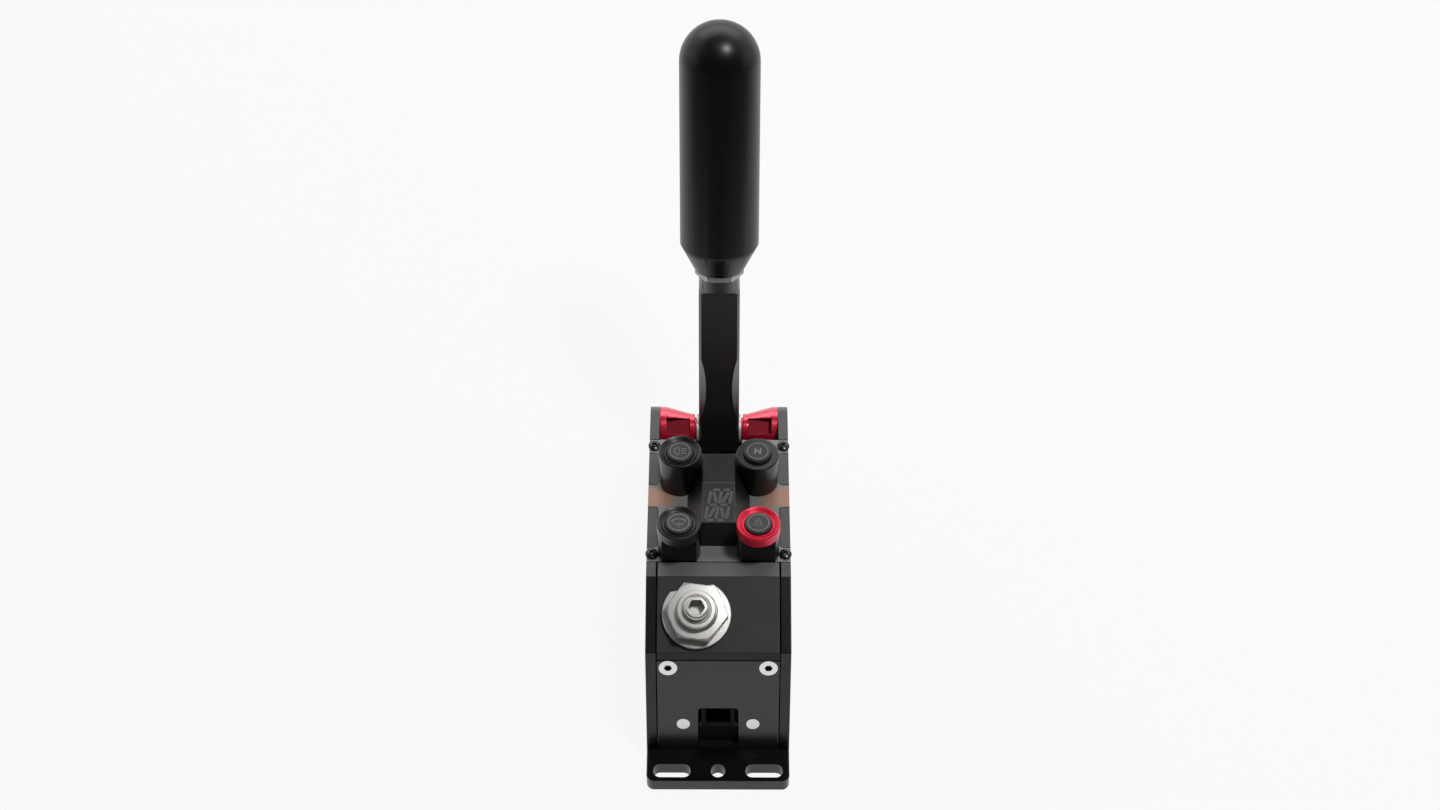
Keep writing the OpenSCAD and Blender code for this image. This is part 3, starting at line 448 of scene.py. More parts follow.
# Level top of the cover: painted lighter than the black cover, with a painted highlight at each side
COVER_TOP_PAINTED_LIGHT = PaintedHighlightFinish(
    "cover_top_painted_light", (0.27, 0.262, 0.252), roughness=0.42, metallic=0.2, grain_size=0.5 * MM,
    grain_depth=0.004 * MM)
LEVER_ANODISED = Finish(
    "lever_anodised", (0.012, 0.012, 0.0122), roughness=0.3, specular=1.0, coat=0.8, coat_roughness=0.3,
    grain_size=0.4 * MM, grain_depth=0.004 * MM)
COVER_BLACK = Finish("cover_black", (0.004, 0.004, 0.004), roughness=0.3, specular=0.42, sheen_change=0.06)
RING_BLACK = Finish("ring_black", (0.005, 0.005, 0.0052), roughness=0.33, sheen_change=0.06)
RING_RED = Finish("ring_red", (0.9, 0.012, 0.058), roughness=0.34, metallic=0.3, sheen_change=0.06)
CAP_GREY = Finish("cap_grey", (0.03, 0.03, 0.0305), roughness=0.44, sheen_change=0.06)
PRINT_GREY = Finish("print_grey", (0.3, 0.285, 0.265), roughness=0.5, sheen_size=MM)
SMOKED = Finish("smoked", (0.012, 0.012, 0.0122), roughness=0.34, specular=0.36, sheen_change=0.05)
SEGMENT_GREY = Finish(
    "segment_grey", (0.12, 0.117, 0.113), roughness=0.5, specular=0.25, sheen_change=0.06, sheen_size=MM)
SEAT_RED = Finish(
    "seat_red", (0.95, 0.02, 0.075), roughness=0.24, metallic=0.45, coat=1.0, coat_roughness=0.14,
    sheen_change=0.06)
# Darker red for the seat's pockets: painted shade in the recesses
POCKET_PAINTED_SHADE = Finish(
    "pocket_painted_shade", (0.22, 0.003, 0.013), roughness=0.4, metallic=0.5, specular=0.3, sheen_change=0.06)
HANDLE_BLACK = Finish(
    "handle_black", (0.0012, 0.0012, 0.0013), roughness=0.33, specular=0.41, sheen_change=0.04)
STEEL = Finish(
    "steel", (0.62, 0.605, 0.585), roughness=0.27, metallic=1.0, sheen_change=0.1, sheen_size=3 * MM)
JAM_STEEL = replace(STEEL, name="jam_steel", colour=(0.5, 0.488, 0.47), roughness=0.5, metallic=0.7)
BRIGHT_STEEL = replace(
    STEEL, name="bright_steel", colour=(0.84, 0.825, 0.805), roughness=0.34, sheen_change=0.08)
SPRING_STEEL = replace(
    STEEL, name="spring_steel", colour=(0.42, 0.42, 0.43), roughness=0.3, sheen_size=2 * MM)
THRUST_STEEL = Finish(
    "thrust_steel", (0.86, 0.85, 0.83), roughness=0.4, metallic=0.35, sheen_size=2 * MM)
TURNED_STEEL = TurnedFinish(
    "turned_steel", (0.54, 0.53, 0.513), roughness=0.34, metallic=1.0, sheen_size=3 * MM)
WASHER_STEEL = replace(TURNED_STEEL, name="washer_steel", colour=(0.5, 0.487, 0.47), roughness=0.42)
# Black steel of the black screws; also painted into the bright front screws' sockets as shade
BLACK_STEEL_AND_SOCKET_SHADE = Finish(
    "black_steel", (0.006, 0.006, 0.006), roughness=0.22, specular=0.6, sheen_size=MM)
CIRCUIT_GREEN = Finish(
    "circuit_green", (0.012, 0.075, 0.035), roughness=0.35, sheen_change=0.1, grain_size=0.8 * MM,
    grain_depth=0.01 * MM)
PORT_GREY = Finish(
    "port_grey", (0.003, 0.003, 0.0032), roughness=0.5, specular=0.2, grain_size=0.4 * MM,
    grain_depth=0.006 * MM)
NYLON = Finish("nylon", (0.62, 0.61, 0.57), roughness=0.45, sheen_size=2 * MM)


# Places and meshes


@dataclass(frozen=True)
class Placement:
    """A spot on the object with its own axes: across, along and out of the surface."""

    origin: Vector
    across: Vector
    along: Vector
    out: Vector

    @classmethod
    def facing(cls, origin: Vector, out: Vector) -> Placement:
        """Builds the axes from the direction that the surface faces.

        Args:
            origin: The spot.
            out: Direction out of the surface, square to the object's width.

        Returns:
            The placement.
        """
        normal = out.normalized()
        along = normal.cross(RIGHT).normalized()
        return cls(origin, along.cross(normal), along, normal)

    def raised(self, height: float) -> Placement:
        """The same axes at a height above the spot."""
        return Placement(self.origin + self.out * height, self.across, self.along, self.out)

    def matrix(self) -> Matrix:
        """Matrix that carries a flat drawing to the spot."""
        turn = Matrix((self.across, self.along, self.out)).transposed().to_4x4()
        return Matrix.Translation(self.origin) @ turn


def leaning_back(angle: float) -> Vector:
    """Unit vector that leans back from upright by an angle in degrees."""
    return Vector((0.0, math.sin(math.radians(angle)), math.cos(math.radians(angle))))


def middle(node: str) -> Vector:
    """Middle of a CAD node's box."""
    low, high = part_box(node)
    return (low + high) / 2


def reach(frame: Frame, node: str, direction: Vector) -> float:
    """How far a CAD node's mesh reaches along a direction.

    Args:
        node: Name of the CAD node.
        direction: Unit vector.

    Returns:
        Largest distance from the origin along the direction, in metres.
    """
    return max(vertex.co.dot(direction) for vertex in frame["nodes"][node].data.vertices)


def joint(frame: Frame, name: str) -> dict[str, Any]:
    """The record's entry for a joint."""
    return next(entry for entry in frame["joints"] if entry["name"] == name)


def placed(name: str, data: bpy.types.ID) -> bpy.types.Object:
    """Makes an object in the scene.

    Args:
        name: Its name.
        data: Its mesh, light or camera.

    Returns:
        The object.
    """
    made = bpy.data.objects.new(name, data)
    bpy.context.scene.collection.objects.link(made)
    return made


def link(name: str, mesh: bpy.types.Mesh, body: str, finish: Finish) -> bpy.types.Object:
    """Puts a finished mesh into the scene.

    Args:
        name: Name of the piece.
        mesh: Mesh in the frame's own coordinates.
        body: Body that the piece rides on.
        finish: Its finish.

    Returns:
        The piece.
    """
    mesh.materials.clear()
    mesh.materials.append(finish.material())
    piece = placed(name, mesh)
    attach(piece, body)
    log.info("%s rides on %s", name, body)
    return piece


def baked(piece: bpy.types.Object) -> bpy.types.Mesh:
    """Plain mesh of an object with its modifiers worked in.

    Args:
        piece: Object that is taken out of the scene again.

    Returns:
        The mesh.
    """
    graph = bpy.context.evaluated_depsgraph_get()
    mesh = bpy.data.meshes.new_from_object(piece.evaluated_get(graph))
    piece.modifiers.clear()
    bpy.data.objects.remove(piece)
    return mesh


@dataclass(frozen=True)
class Softener:
    """Copies a CAD node, joins its triangles and rounds its edges."""

    frame: Frame
    merge: float = 0.002 * MM
    flat_angle: float = math.radians(0.3)
    edge_angle: float = math.radians(20)
    smooth_angle: float = math.radians(16)
    straight_length: float = 1.4 * MM
    edge_segments: int = 2
    corner_segments: int = 6
    corner_profile: float = 0.5

    def joined(self, source: bpy.types.Object, corners: Optional[Corners]) -> bpy.types.Mesh:
        """Copies a node's mesh and joins its loose triangles into faces.

        Args:
            source: The CAD node.
            corners: Upright corners that get a wide rounding, or None.

        Returns:
            The mesh, with its long sharp edges marked.
        """
        mesh = source.data.copy()
        shape = bmesh.new()
        shape.from_mesh(mesh)
        bmesh.ops.remove_doubles(shape, verts=shape.verts, dist=self.merge)
        bmesh.ops.dissolve_limit(shape, angle_limit=self.flat_angle, verts=shape.verts, edges=shape.edges)
        if corners is not None:
            bmesh.ops.bevel(
                shape, geom=corners.pick(shape), offset=corners.radius, offset_type="OFFSET",
                segments=self.corner_segments, profile=self.corner_profile, affect="EDGES",
                clamp_overlap=False)
        weight = shape.edges.layers.float.new("bevel_weight_edge")
        for edge in shape.edges:
            sharp = edge.is_manifold and edge.calc_face_angle(0.0) > self.edge_angle
            edge[weight] = float(sharp and edge.calc_length() > self.straight_length)
        shape.to_mesh(mesh)
        shape.free()
        return mesh

    def levelled(self, mesh: bpy.types.Mesh) -> bpy.types.Mesh:
        """Shades the roundings smooth and keeps the large faces level.

        Args:
            mesh: Mesh of a piece.

        Returns:
            The mesh with its normals turned to the large faces.
        """
        mesh.shade_smooth()
        mesh.set_sharp_from_angle(angle=self.smooth_angle)
        rough = placed("rough", mesh)
        normals = rough.modifiers.new("normals", "WEIGHTED_NORMAL")
        normals.keep_sharp = True
        return baked(rough)

    def soften(
        self, node: str, finish: Finish, width: float = 0.0, edges: Edges = Edges.ALL,
        corners: Optional[Corners] = None
    ) -> bpy.types.Object:
        """Stands a piece with rounded edges in the place of a CAD node.

        Args:
            node: Name of the CAD node.
            finish: Finish of the piece.
            width: Width of the rounding, in metres.
            edges: Which edges are rounded.
            corners: Upright corners that get a wide rounding, or None.

        Returns:
            The piece.
        """
        source = self.frame["nodes"][node]
        mesh = self.joined(source, corners)
        if edges is not Edges.NONE:
            rough = placed(node + "_rough", mesh)
            edge = rough.modifiers.new("edges", "BEVEL")
            edge.width = width
            edge.segments = self.edge_segments
            edge.limit_method = "WEIGHT" if edges is Edges.STRAIGHT else "ANGLE"
            edge.angle_limit = self.edge_angle
            edge.use_clamp_overlap = False
            mesh = baked(rough)
        piece = link(node + "_skin", self.levelled(mesh), source["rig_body"], finish)
        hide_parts(node)
        return piece


@dataclass(frozen=True)
class Corners:
    """Upright corners where the cover and a side plate's tabs meet, on a line between the cover's ends."""

    out: Vector
    along: Vector
    line: float
    start: float
    end: float
    margin: float = 3 * MM
    radius: float = 1.7 * MM
    longest: float = 4.5 * MM
    slack: float = 0.6 * MM
    least_cosine: float = 0.999

    @classmethod
    def between(cls, frame: Frame) -> Corners:
        """Finds the corners between the cover and the tabs.


        Returns:
            Where they stand and how they are rounded.
        """
        out = -Vector(joint(frame, "front_left_press")["axis"])
        along = Placement.facing(Vector(), out).along
        low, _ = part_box("right_side_plate")
        return cls(out, along, low.x, -reach(frame, "top_cover", -along), reach(frame, "top_cover", along))

    def pick(self, shape: bmesh.types.BMesh) -> list[bmesh.types.BMEdge]:
        """Edges that stand on the line, away from its two ends.

        Args:
            shape: Joined mesh of a cover or a side plate.

        Returns:
            The edges.
        """
        found = []
        for edge in shape.edges:
            run = edge.verts[1].co - edge.verts[0].co
            spot = (edge.verts[0].co + edge.verts[1].co) / 2
            upright = abs(run.dot(self.out)) > self.least_cosine * run.length
            near = abs(abs(spot.x) - self.line) < self.slack
            within = self.start + self.margin < spot.dot(self.along) < self.end - self.margin
            if upright and run.length < self.longest and near and within:
                found.append(edge)
        return found


# Distance by which faces on one level may differ
LEVEL_SLACK = 0.1 * MM


def refinish(
    piece: bpy.types.Object, finish: Finish, facing: Vector, level: Optional[float] = None,
    spread: float = 2.5
) -> None:
    """Gives the faces of a piece that face one way a finish of their own; on upward faces that is a lighter
    finish, which is painted light.

    Args:
        piece: A softened piece.
        finish: Finish of the faces.
        facing: Unit vector that the faces look along.
        level: Distance of the faces from the origin along that vector, or None for any.
        spread: Angle that a face may be turned away from that vector, in degrees.
    """
    closest = math.cos(math.radians(spread))
    piece.data.materials.append(finish.material())
    last = len(piece.data.materials) - 1
    for face in piece.data.polygons:
        at_level = level is None or abs(face.center.dot(facing) - level) < LEVEL_SLACK
        if at_level and face.normal.dot(facing) > closest:
            face.material_index = last


def dress(frame: Frame, finish: Finish, *nodes: str) -> None:
    """Gives CAD nodes that stay as they are a finish.

    Args:
        finish: The finish.
        *nodes: Names of the CAD nodes.
    """
    for node in nodes:
        slots = frame["nodes"][node].data.materials
        slots.clear()
        slots.append(finish.material())
        log.info("%s takes the finish %s", node, finish.name)


class NodeTool:
    """Geometry node tree with named inputs that turns a mesh into another."""

    def __init__(self, name: str, sizes: dict[str, str]) -> None:
        """Makes the tree with its sockets.

        Args:
            name: Name of the tree.
            sizes: Names of the inputs that are lengths or counts, with their socket types.
        """
        self.tree = bpy.data.node_groups.new(name, "GeometryNodeTree")
        self.graph = Graph(self.tree)
        face = self.tree.interface
        face.new_socket("Geometry", in_out="OUTPUT", socket_type="NodeSocketGeometry")
        face.new_socket("Geometry", in_out="INPUT", socket_type="NodeSocketGeometry")
        self.keys: dict[str, str] = {}
        for size, kind in {**sizes, "Finish": "NodeSocketMaterial"}.items():
            self.keys[size] = face.new_socket(size, in_out="INPUT", socket_type=kind).identifier
        self.source = self.tree.nodes.new("NodeGroupInput")

    def size(self, name: str) -> Socket:
        """One of the tree's inputs."""
        return Socket(self.graph, self.source.outputs[name])

    def close(self, shape: Socket) -> None:
        """Ends the tree in real geometry with its finish.

        Args:
            shape: Geometry of the last node.
        """
        real = self.graph.node("GeometryNodeRealizeInstances", None, {"Geometry": shape})
        painted = self.graph.node(
            "GeometryNodeSetMaterial", None, {"Geometry": real, "Material": self.size("Finish")})
        self.graph.node("NodeGroupOutput", None, {"Geometry": painted})

    def run(self, mesh: bpy.types.Mesh, finish: Finish, **sizes: Value) -> bpy.types.Mesh:
        """Works a mesh through the tree.

        Args:
            mesh: Mesh that goes in.
            finish: Finish of the result.
            **sizes: Values of the named inputs.

        Returns:
            The result as a plain mesh.
        """
        piece = placed(self.tree.name, mesh)
        tool = piece.modifiers.new(self.tree.name, "NODES")
        tool.node_group = self.tree
        for name, value in {**sizes, "Finish": finish.material()}.items():
            tool[self.keys[name]] = value
        return baked(piece)


class StrokeTool(NodeTool):
    """Turns the edges of a flat drawing into strokes of an even width."""

    def __init__(self) -> None:
        """Builds the tree."""
        super().__init__("flat_strokes", {"Width": "NodeSocketFloat", "Height": "NodeSocketFloat"})
        graph = self.graph
        lines = graph.node("GeometryNodeMeshToCurve", None, {"Mesh": self.size("Geometry")})
        level = graph.node("GeometryNodeSetCurveNormal", {"mode": "Z_UP"}, {"Curve": lines})
        pen = graph.node(
            "GeometryNodeCurvePrimitiveQuadrilateral", {"mode": "RECTANGLE"},
            {"Width": self.size("Width"), "Height": self.size("Height")})
        drawn = graph.node(
            "GeometryNodeCurveToMesh", None, {"Curve": level, "Profile Curve": pen, "Fill Caps": True})
        self.close(drawn)

    def draw(
        self, name: str, strokes: Sequence[Stroke], place: Placement, body: str, finish: Finish, width: float,
        height: float
    ) -> bpy.types.Object:
        """Draws strokes on a surface.

        Args:
            name: Name of the piece.
            strokes: Lists of points in millimetres; a list that ends where it starts is closed.
            place: Where the drawing lies.
            body: Body that carries it.
            finish: Finish of the strokes.
            width: Width of a stroke, in metres.
            height: Thickness of a stroke, in metres.

        Returns:
            The piece.
        """
        mesh = self.run(wire(strokes), finish, Width=width, Height=height)
        mesh.shade_flat()
        mesh.transform(place.matrix())
        return link(name, mesh, body, finish)


class CoilTool(NodeTool):
    """Winds a wire into a coil along +Z."""

    turn_points: int = 40
    wire_sides: int = 12

    def __init__(self) -> None:
        """Builds the tree."""
        super().__init__("coil", {
            "Turns": "NodeSocketFloat", "Radius": "NodeSocketFloat", "Rise": "NodeSocketFloat",
            "Wire": "NodeSocketFloat"})
        graph = self.graph
        path = graph.node("GeometryNodeCurveSpiral", None, {
            "Resolution": self.turn_points, "Rotations": self.size("Turns"),
            "Start Radius": self.size("Radius"), "End Radius": self.size("Radius"),
            "Height": self.size("Rise")})
        section = graph.node(
            "GeometryNodeCurvePrimitiveCircle", None,
            {"Resolution": self.wire_sides, "Radius": self.size("Wire")})
        wound = graph.node(
            "GeometryNodeCurveToMesh", None, {"Curve": path, "Profile Curve": section, "Fill Caps": True})
        self.close(wound)


def wire(strokes: Sequence[Stroke]) -> bpy.types.Mesh:
    """Mesh of edges through flat points.

    Args:
        strokes: Lists of points in millimetres; a list that ends where it starts is closed.

    Returns:
        The mesh, in metres.
    """
    points: list[Spot] = []
    edges: list[tuple[int, int]] = []
    for stroke in strokes:
        closed = stroke[0] == stroke[-1]
        own = stroke[:-1] if closed else stroke
        first = len(points)
        points += [(x * MM, y * MM, 0.0) for x, y in own]
        edges += [(first + step, first + step + 1) for step in range(len(own) - 1)]
        if closed:
            edges.append((len(points) - 1, first))
    mesh = bpy.data.meshes.new("wire")
    mesh.from_pydata(points, edges, [])
    return mesh


def arc(
    centre: Flat, radius: float, start: float, end: float, steps: int = 20, squeeze: float = 1.0
) -> Stroke:
    """Points of an arc.

    Args:
        centre: Middle of the arc.
        radius: Its radius.
        start: Angle of its first point, in degrees.
        end: Angle of its last point, in degrees.
        steps: Number of pieces.
        squeeze: Share of the radius that counts across.

    Returns:
        The points.
    """
    turns = [math.radians(start + (end - start) * step / steps) for step in range(steps + 1)]
    wide = squeeze * radius
    return [(centre[0] + wide * math.cos(turn), centre[1] + radius * math.sin(turn)) for turn in turns]


def ring(radius: float, steps: int = 48) -> Stroke:
    """Closed circle round the middle."""
    points = arc((0.0, 0.0), radius, 0.0, 360.0, steps)
    return points[:-1] + [points[0]]


# Sub-assemblies


@dataclass
class Housing:
    """Base, walls and front of the body with their screws.

    The side plates rise in ears, whose leans and spreads are in degrees.
    """

    frame: Frame
    softener: Softener
    corners: Corners
    edge: float = 0.3 * MM
    base_edge: float = 0.6 * MM
    ear_lean: float = 30.0
    ear_spread: float = 27.0
    ear_end_lean: float = 42.0
    ear_end_spread: float = 22.0
    screw_radius: float = 4 * MM
    socket_reach: float = 2.4 * MM
    socket_sink: float = 0.05 * MM
    socket_least_cosine: float = -0.1
    front_most_cosine: float = -0.5

    def build(self) -> None:
        """Softens the plates, paints light on their upward faces and dresses the screws."""
        soften = self.softener.soften
        soften("base_plate", BASE_ANODISED, self.base_edge, Edges.STRAIGHT)
        for node in ("left_side_plate", "right_side_plate"):
            plate = soften(node, BLACK_ANODISED, self.edge, Edges.STRAIGHT, self.corners)
            # The plate's upward faces and the tops of its ears are painted lighter, as light that falls on
            # them
            refinish(plate, TAB_TOP_PAINTED_LIGHT, self.corners.out)
            refinish(plate, TAB_TOP_PAINTED_LIGHT, leaning_back(self.ear_lean), spread=self.ear_spread)
            refinish(plate, EAR_TOP_PAINTED_LIGHT, leaning_back(self.ear_end_lean), spread=self.ear_end_spread)
            refinish(plate, BASE_ANODISED, -Vector(joint(self.frame, "preload_turn")["axis"]))
        soften("rear_plate", BLACK_ANODISED, self.edge, Edges.STRAIGHT)
        soften("front_plate", FRONT_ANODISED, self.edge, Edges.STRAIGHT)
        block = soften("front_block", BLOCK_ANODISED, self.edge, Edges.STRAIGHT)
        # The block's upward faces are painted lighter, as light that falls on them
        refinish(block, BLOCK_TOP_PAINTED_LIGHT, self.corners.out)
        dress(self.frame, PORT_GREY, "data_port", "port_block", "sensor_bracket")
        dress(self.frame, CIRCUIT_GREEN, "port_board", "sensor_board", "control_board")
        dress(self.frame, BRIGHT_STEEL, "front_dowels", "board_screws")
        dress(self.frame, BLACK_STEEL_AND_SOCKET_SHADE, "side_screws", "base_screws")
        self.dress_front_screws()

    def dress_front_screws(self) -> None:
        """Gives the bright front screws sockets that are painted black as shade."""
        screws = self.softener.soften("front_plate_screws", BRIGHT_STEEL, edges=Edges.NONE)
        out = self.front_facing()
        brim = reach(self.frame, "front_plate_screws", out) - self.socket_sink
        low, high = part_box("front_plate_screws")
        middles = (low.x + self.screw_radius, high.x - self.screw_radius)
        # The sockets' faces take the black as painted shade
        screws.data.materials.append(BLACK_STEEL_AND_SOCKET_SHADE.material())
        for face in screws.data.polygons:
            inside = min(abs(face.center.x - x) for x in middles) < self.socket_reach
            sunk = face.center.dot(out) < brim and face.normal.dot(out) > self.socket_least_cosine
            if inside and sunk:
                face.material_index = 1

    def front_facing(self) -> Vector:
        """Direction that the front plate faces.

        Returns:
            Unit vector out of its largest face towards the front.
        """
        faces = self.frame["nodes"]["front_plate"].data.polygons
        front = max(faces, key=lambda face: face.area * (face.normal.y < self.front_most_cosine))
        return front.normal.copy()


@dataclass
class Cover:
    """Top cover with its towers, screws and the display.

    The lines of the character and the seam are laid out in millimetres.
    """

    frame: Frame
    softener: Softener
    strokes: StrokeTool
    corners: Corners
    hood_edge: float = 0.35 * MM
    painted_highlight_share: float = 0.52
    stroke_width: float = 1.4 * MM
    stroke_height: float = 0.12 * MM
    seam_width: float = 0.35 * MM
    seam_half: float = 7.2
    seam_rise: float = 11.2
    cell_width: float = 9.2
    cell_height: float = 17.0
    cell_gap: float = 0.85
    cell_shift: float = -1.3
    slope_inset: float = 1.7
    slant: float = 0.16

    def build(self) -> None:
        """Softens the cover and the display housing and draws the character."""
        cover = self.softener.soften("top_cover", COVER_BLACK, edges=Edges.NONE, corners=self.corners)
        level = reach(self.frame, "left_side_plate", self.corners.out)
        # The level top is painted lighter, with painted highlights at its sides
        refinish(cover, self.satin(), self.corners.out, level)
        hood = self.softener.soften("display_housing", SMOKED, self.hood_edge)
        dress(self.frame, BLACK_STEEL_AND_SOCKET_SHADE, "cover_screws")
        dress(self.frame, PORT_GREY, "display_module", "button_switches")
        self.strokes.draw(
            "display_character", self.segments(), self.window(), Body.HOUSING, SEGMENT_GREY,
            self.stroke_width, self.stroke_height)
        seam = [(-self.seam_half, self.seam_rise), (self.seam_half, self.seam_rise)]
        self.strokes.draw(
            "display_seam", [seam], self.window(), Body.HOUSING, SEGMENT_GREY, self.seam_width,
            self.stroke_height)

    def satin(self) -> PaintedHighlightFinish:
        """Finish of the cover's level top, painted lighter than the rest of the cover.

        Returns:
            The finish with its painted highlights between the tabs.
        """
        start, end = self.corners.start, self.corners.end
        patch = start + self.painted_highlight_share * (end - start)
        return replace(COVER_TOP_PAINTED_LIGHT, along=tuple(self.corners.along), middle=patch)

    def window(self) -> Placement:
        """Middle of the display's level top.

        Returns:
            The spot and its axes.
        """
        out = self.corners.out
        place = Placement.facing(middle("display_module"), out)
        top = reach(self.frame, "display_housing", out) - place.origin.dot(out)
        return place.raised(top)

    def segments(self) -> list[Stroke]:
        """Strokes of an unlit sixteen-segment character.

        Returns:
            One short stroke for each segment, leaning to the right.
        """
        wide, high, gap = self.cell_width / 2, self.cell_height / 2, self.cell_gap
        level = [[(-wide + gap, y), (-gap, y)] for y in (-high, 0.0, high)]
        level += [[(gap, y), (wide - gap, y)] for y in (-high, 0.0, high)]
        upright = [[(x, gap), (x, high - gap)] for x in (-wide, 0.0, wide)]
        upright += [[(x, -high + gap), (x, -gap)] for x in (-wide, 0.0, wide)]
        inset = self.slope_inset * gap
        slopes = [
            [(side * inset, lift * inset), (side * (wide - inset), lift * (high - inset))]
            for side in (-1, 1) for lift in (-1, 1)]
        strokes = level + upright + slopes
        return [[(x + self.slant * y, y + self.cell_shift) for x, y in stroke] for stroke in strokes]


@dataclass
class Button:
    """One push button with its ring and its printed sign.

    The sign is laid out in millimetres round the middle of the cap, and its spreads are in degrees.
    """

    frame: Frame
    softener: Softener
    strokes: StrokeTool
    name: str
    sign: Sign
    ring_finish: Finish
    edge: float = 0.25 * MM
    line: float = 0.32 * MM
    letter_line: float = 0.7 * MM
    ink: float = 0.12 * MM
    circle: float = 4.5
    letter: Flat = (1.2, 1.7)
    bowl: Flat = (-0.4, 0.0)
    bowl_radius: float = 2.0
    bowl_squeeze: float = 1.1
    bowl_steps: int = 16
    beam: Flat = (0.5, 2.9)
    beam_pitch: float = 1.3
    screen: Flat = (0.0, -3.2)
    screen_radius: float = 5.0
    screen_spread: float = 38.0
    sill_radius: float = 2.3
    sill_spread: float = 32.0
    sill_steps: int = 10
    jet: Flat = (-2.6, -0.9)
    triangles: Flat = (2.6, 1.4)
    triangle_drop: float = 0.25

    def build(self) -> None:
        """Softens the ring and the cap and prints the sign."""
        self.softener.soften(self.name + "_bezel", self.ring_finish, self.edge)
        self.softener.soften(self.name + "_button", CAP_GREY, self.edge)
        out = -Vector(joint(self.frame, self.name + "_press")["axis"])
        place = Placement.facing(middle(self.name + "_bezel"), out)
        top = place.raised(reach(self.frame, self.name + "_button", out) - place.origin.dot(out))
        body = self.name + "_key"
        self.strokes.draw(
            self.name + "_circle", [ring(self.circle)], top, body, PRINT_GREY, self.line, self.ink)
        width = self.letter_line if self.sign is Sign.NEUTRAL else self.line
        self.strokes.draw(self.name + "_sign", self.drawing(), top, body, PRINT_GREY, width, self.ink)

    def drawing(self) -> list[Stroke]:
        """Strokes of the sign.

        Returns:
            Lists of points in millimetres round the middle of the cap.
        """
        if self.sign is Sign.NEUTRAL:
            wide, high = self.letter
            turns = [(-wide, -high), (-wide, high), (wide, -high), (wide, high)]
            return [list(ends) for ends in zip(turns, turns[1:])]
        if self.sign is Sign.LAMP:
            bowl = arc(self.bowl, self.bowl_radius, 90.0, 270.0, self.bowl_steps, self.bowl_squeeze)
            start, end = self.beam
            beams = [[(start, y), (end, y)] for y in (-self.beam_pitch, 0.0, self.beam_pitch)]
            return [bowl + [bowl[0]], *beams]
        if self.sign is Sign.WASHER:
            wide, narrow = self.screen_spread, self.sill_spread
            top = arc(self.screen, self.screen_radius, 90.0 + wide, 90.0 - wide)
            sill = arc(self.screen, self.sill_radius, 90.0 - narrow, 90.0 + narrow, self.sill_steps)
            return [top + sill + [top[0]], [(0.0, y) for y in self.jet]]
        return [self.triangle(radius) for radius in self.triangles]

    def triangle(self, radius: float) -> Stroke:
        """Closed triangle that stands on its base.

        Args:
            radius: Distance of its corners from its middle.

        Returns:
            The points.
        """
        turns = [math.radians(turn) for turn in (90, 210, 330)]
        corners = [(radius * math.cos(turn), radius * math.sin(turn) - self.triangle_drop) for turn in turns]
        return corners + [corners[0]]


@dataclass
class Lever:
    """Lever with its handle, its bearings and the rocker arm below."""

    frame: Frame
    softener: Softener
    seat_edge: float = 0.25 * MM
    seat_rim: float = 2.6 * MM
    seat_collar: float = 2.7 * MM
    pocket_sink: float = 0.4 * MM
    nut_edge: float = 0.2 * MM

    def build(self) -> None:
        """Dresses the lever and everything that it turns in."""
        soften = self.softener.soften
        soften("lever_bar", LEVER_ANODISED, edges=Edges.NONE)
        soften("handle_grip", HANDLE_BLACK, edges=Edges.NONE)
        soften("jam_nut", JAM_STEEL, self.nut_edge)
        for node in ("left_bearing_seat", "right_bearing_seat"):
            self.shade_pockets(soften(node, SEAT_RED, self.seat_edge))
        dress(self.frame, STEEL, "handle_stud", "pivot_axle", "bearing_inner_rings", "bearing_outer_rings",
              "sensor_magnet")
        dress(self.frame, THRUST_STEEL, "thrust_washers")
        dress(self.frame, LEVER_ANODISED, "rocker_arm")
        dress(self.frame, BLACK_STEEL_AND_SOCKET_SHADE, "arm_screws")

    def shade_pockets(self, seat: bpy.types.Object) -> None:
        """Gives the milled pockets of a bearing seat a darker red, which is painted shade.

        Args:
            seat: A softened bearing seat.
        """
        pivot = Vector(joint(self.frame, "lever_shift")["pos_m"])
        spots = [vertex.co - pivot for vertex in seat.data.vertices]
        wide_end = max(abs(spot.x) for spot in spots)
        cone_end = min(abs(spot.x) for spot in spots) + self.seat_collar
        wide = max(spot.yz.length for spot in spots)
        narrow = max(spot.yz.length for spot in spots if abs(spot.x) < cone_end - self.pocket_sink)
        # Faces inside the pockets take the painted shade
        seat.data.materials.append(POCKET_PAINTED_SHADE.material())
        for face in seat.data.polygons:
            spot = face.center - pivot
            run = (wide_end - self.seat_rim - abs(spot.x)) / (wide_end - self.seat_rim - cone_end)
            cone = wide + (narrow - wide) * run
            if 0 < run < 1 and spot.yz.length < cone - self.pocket_sink:
                face.material_index = 1


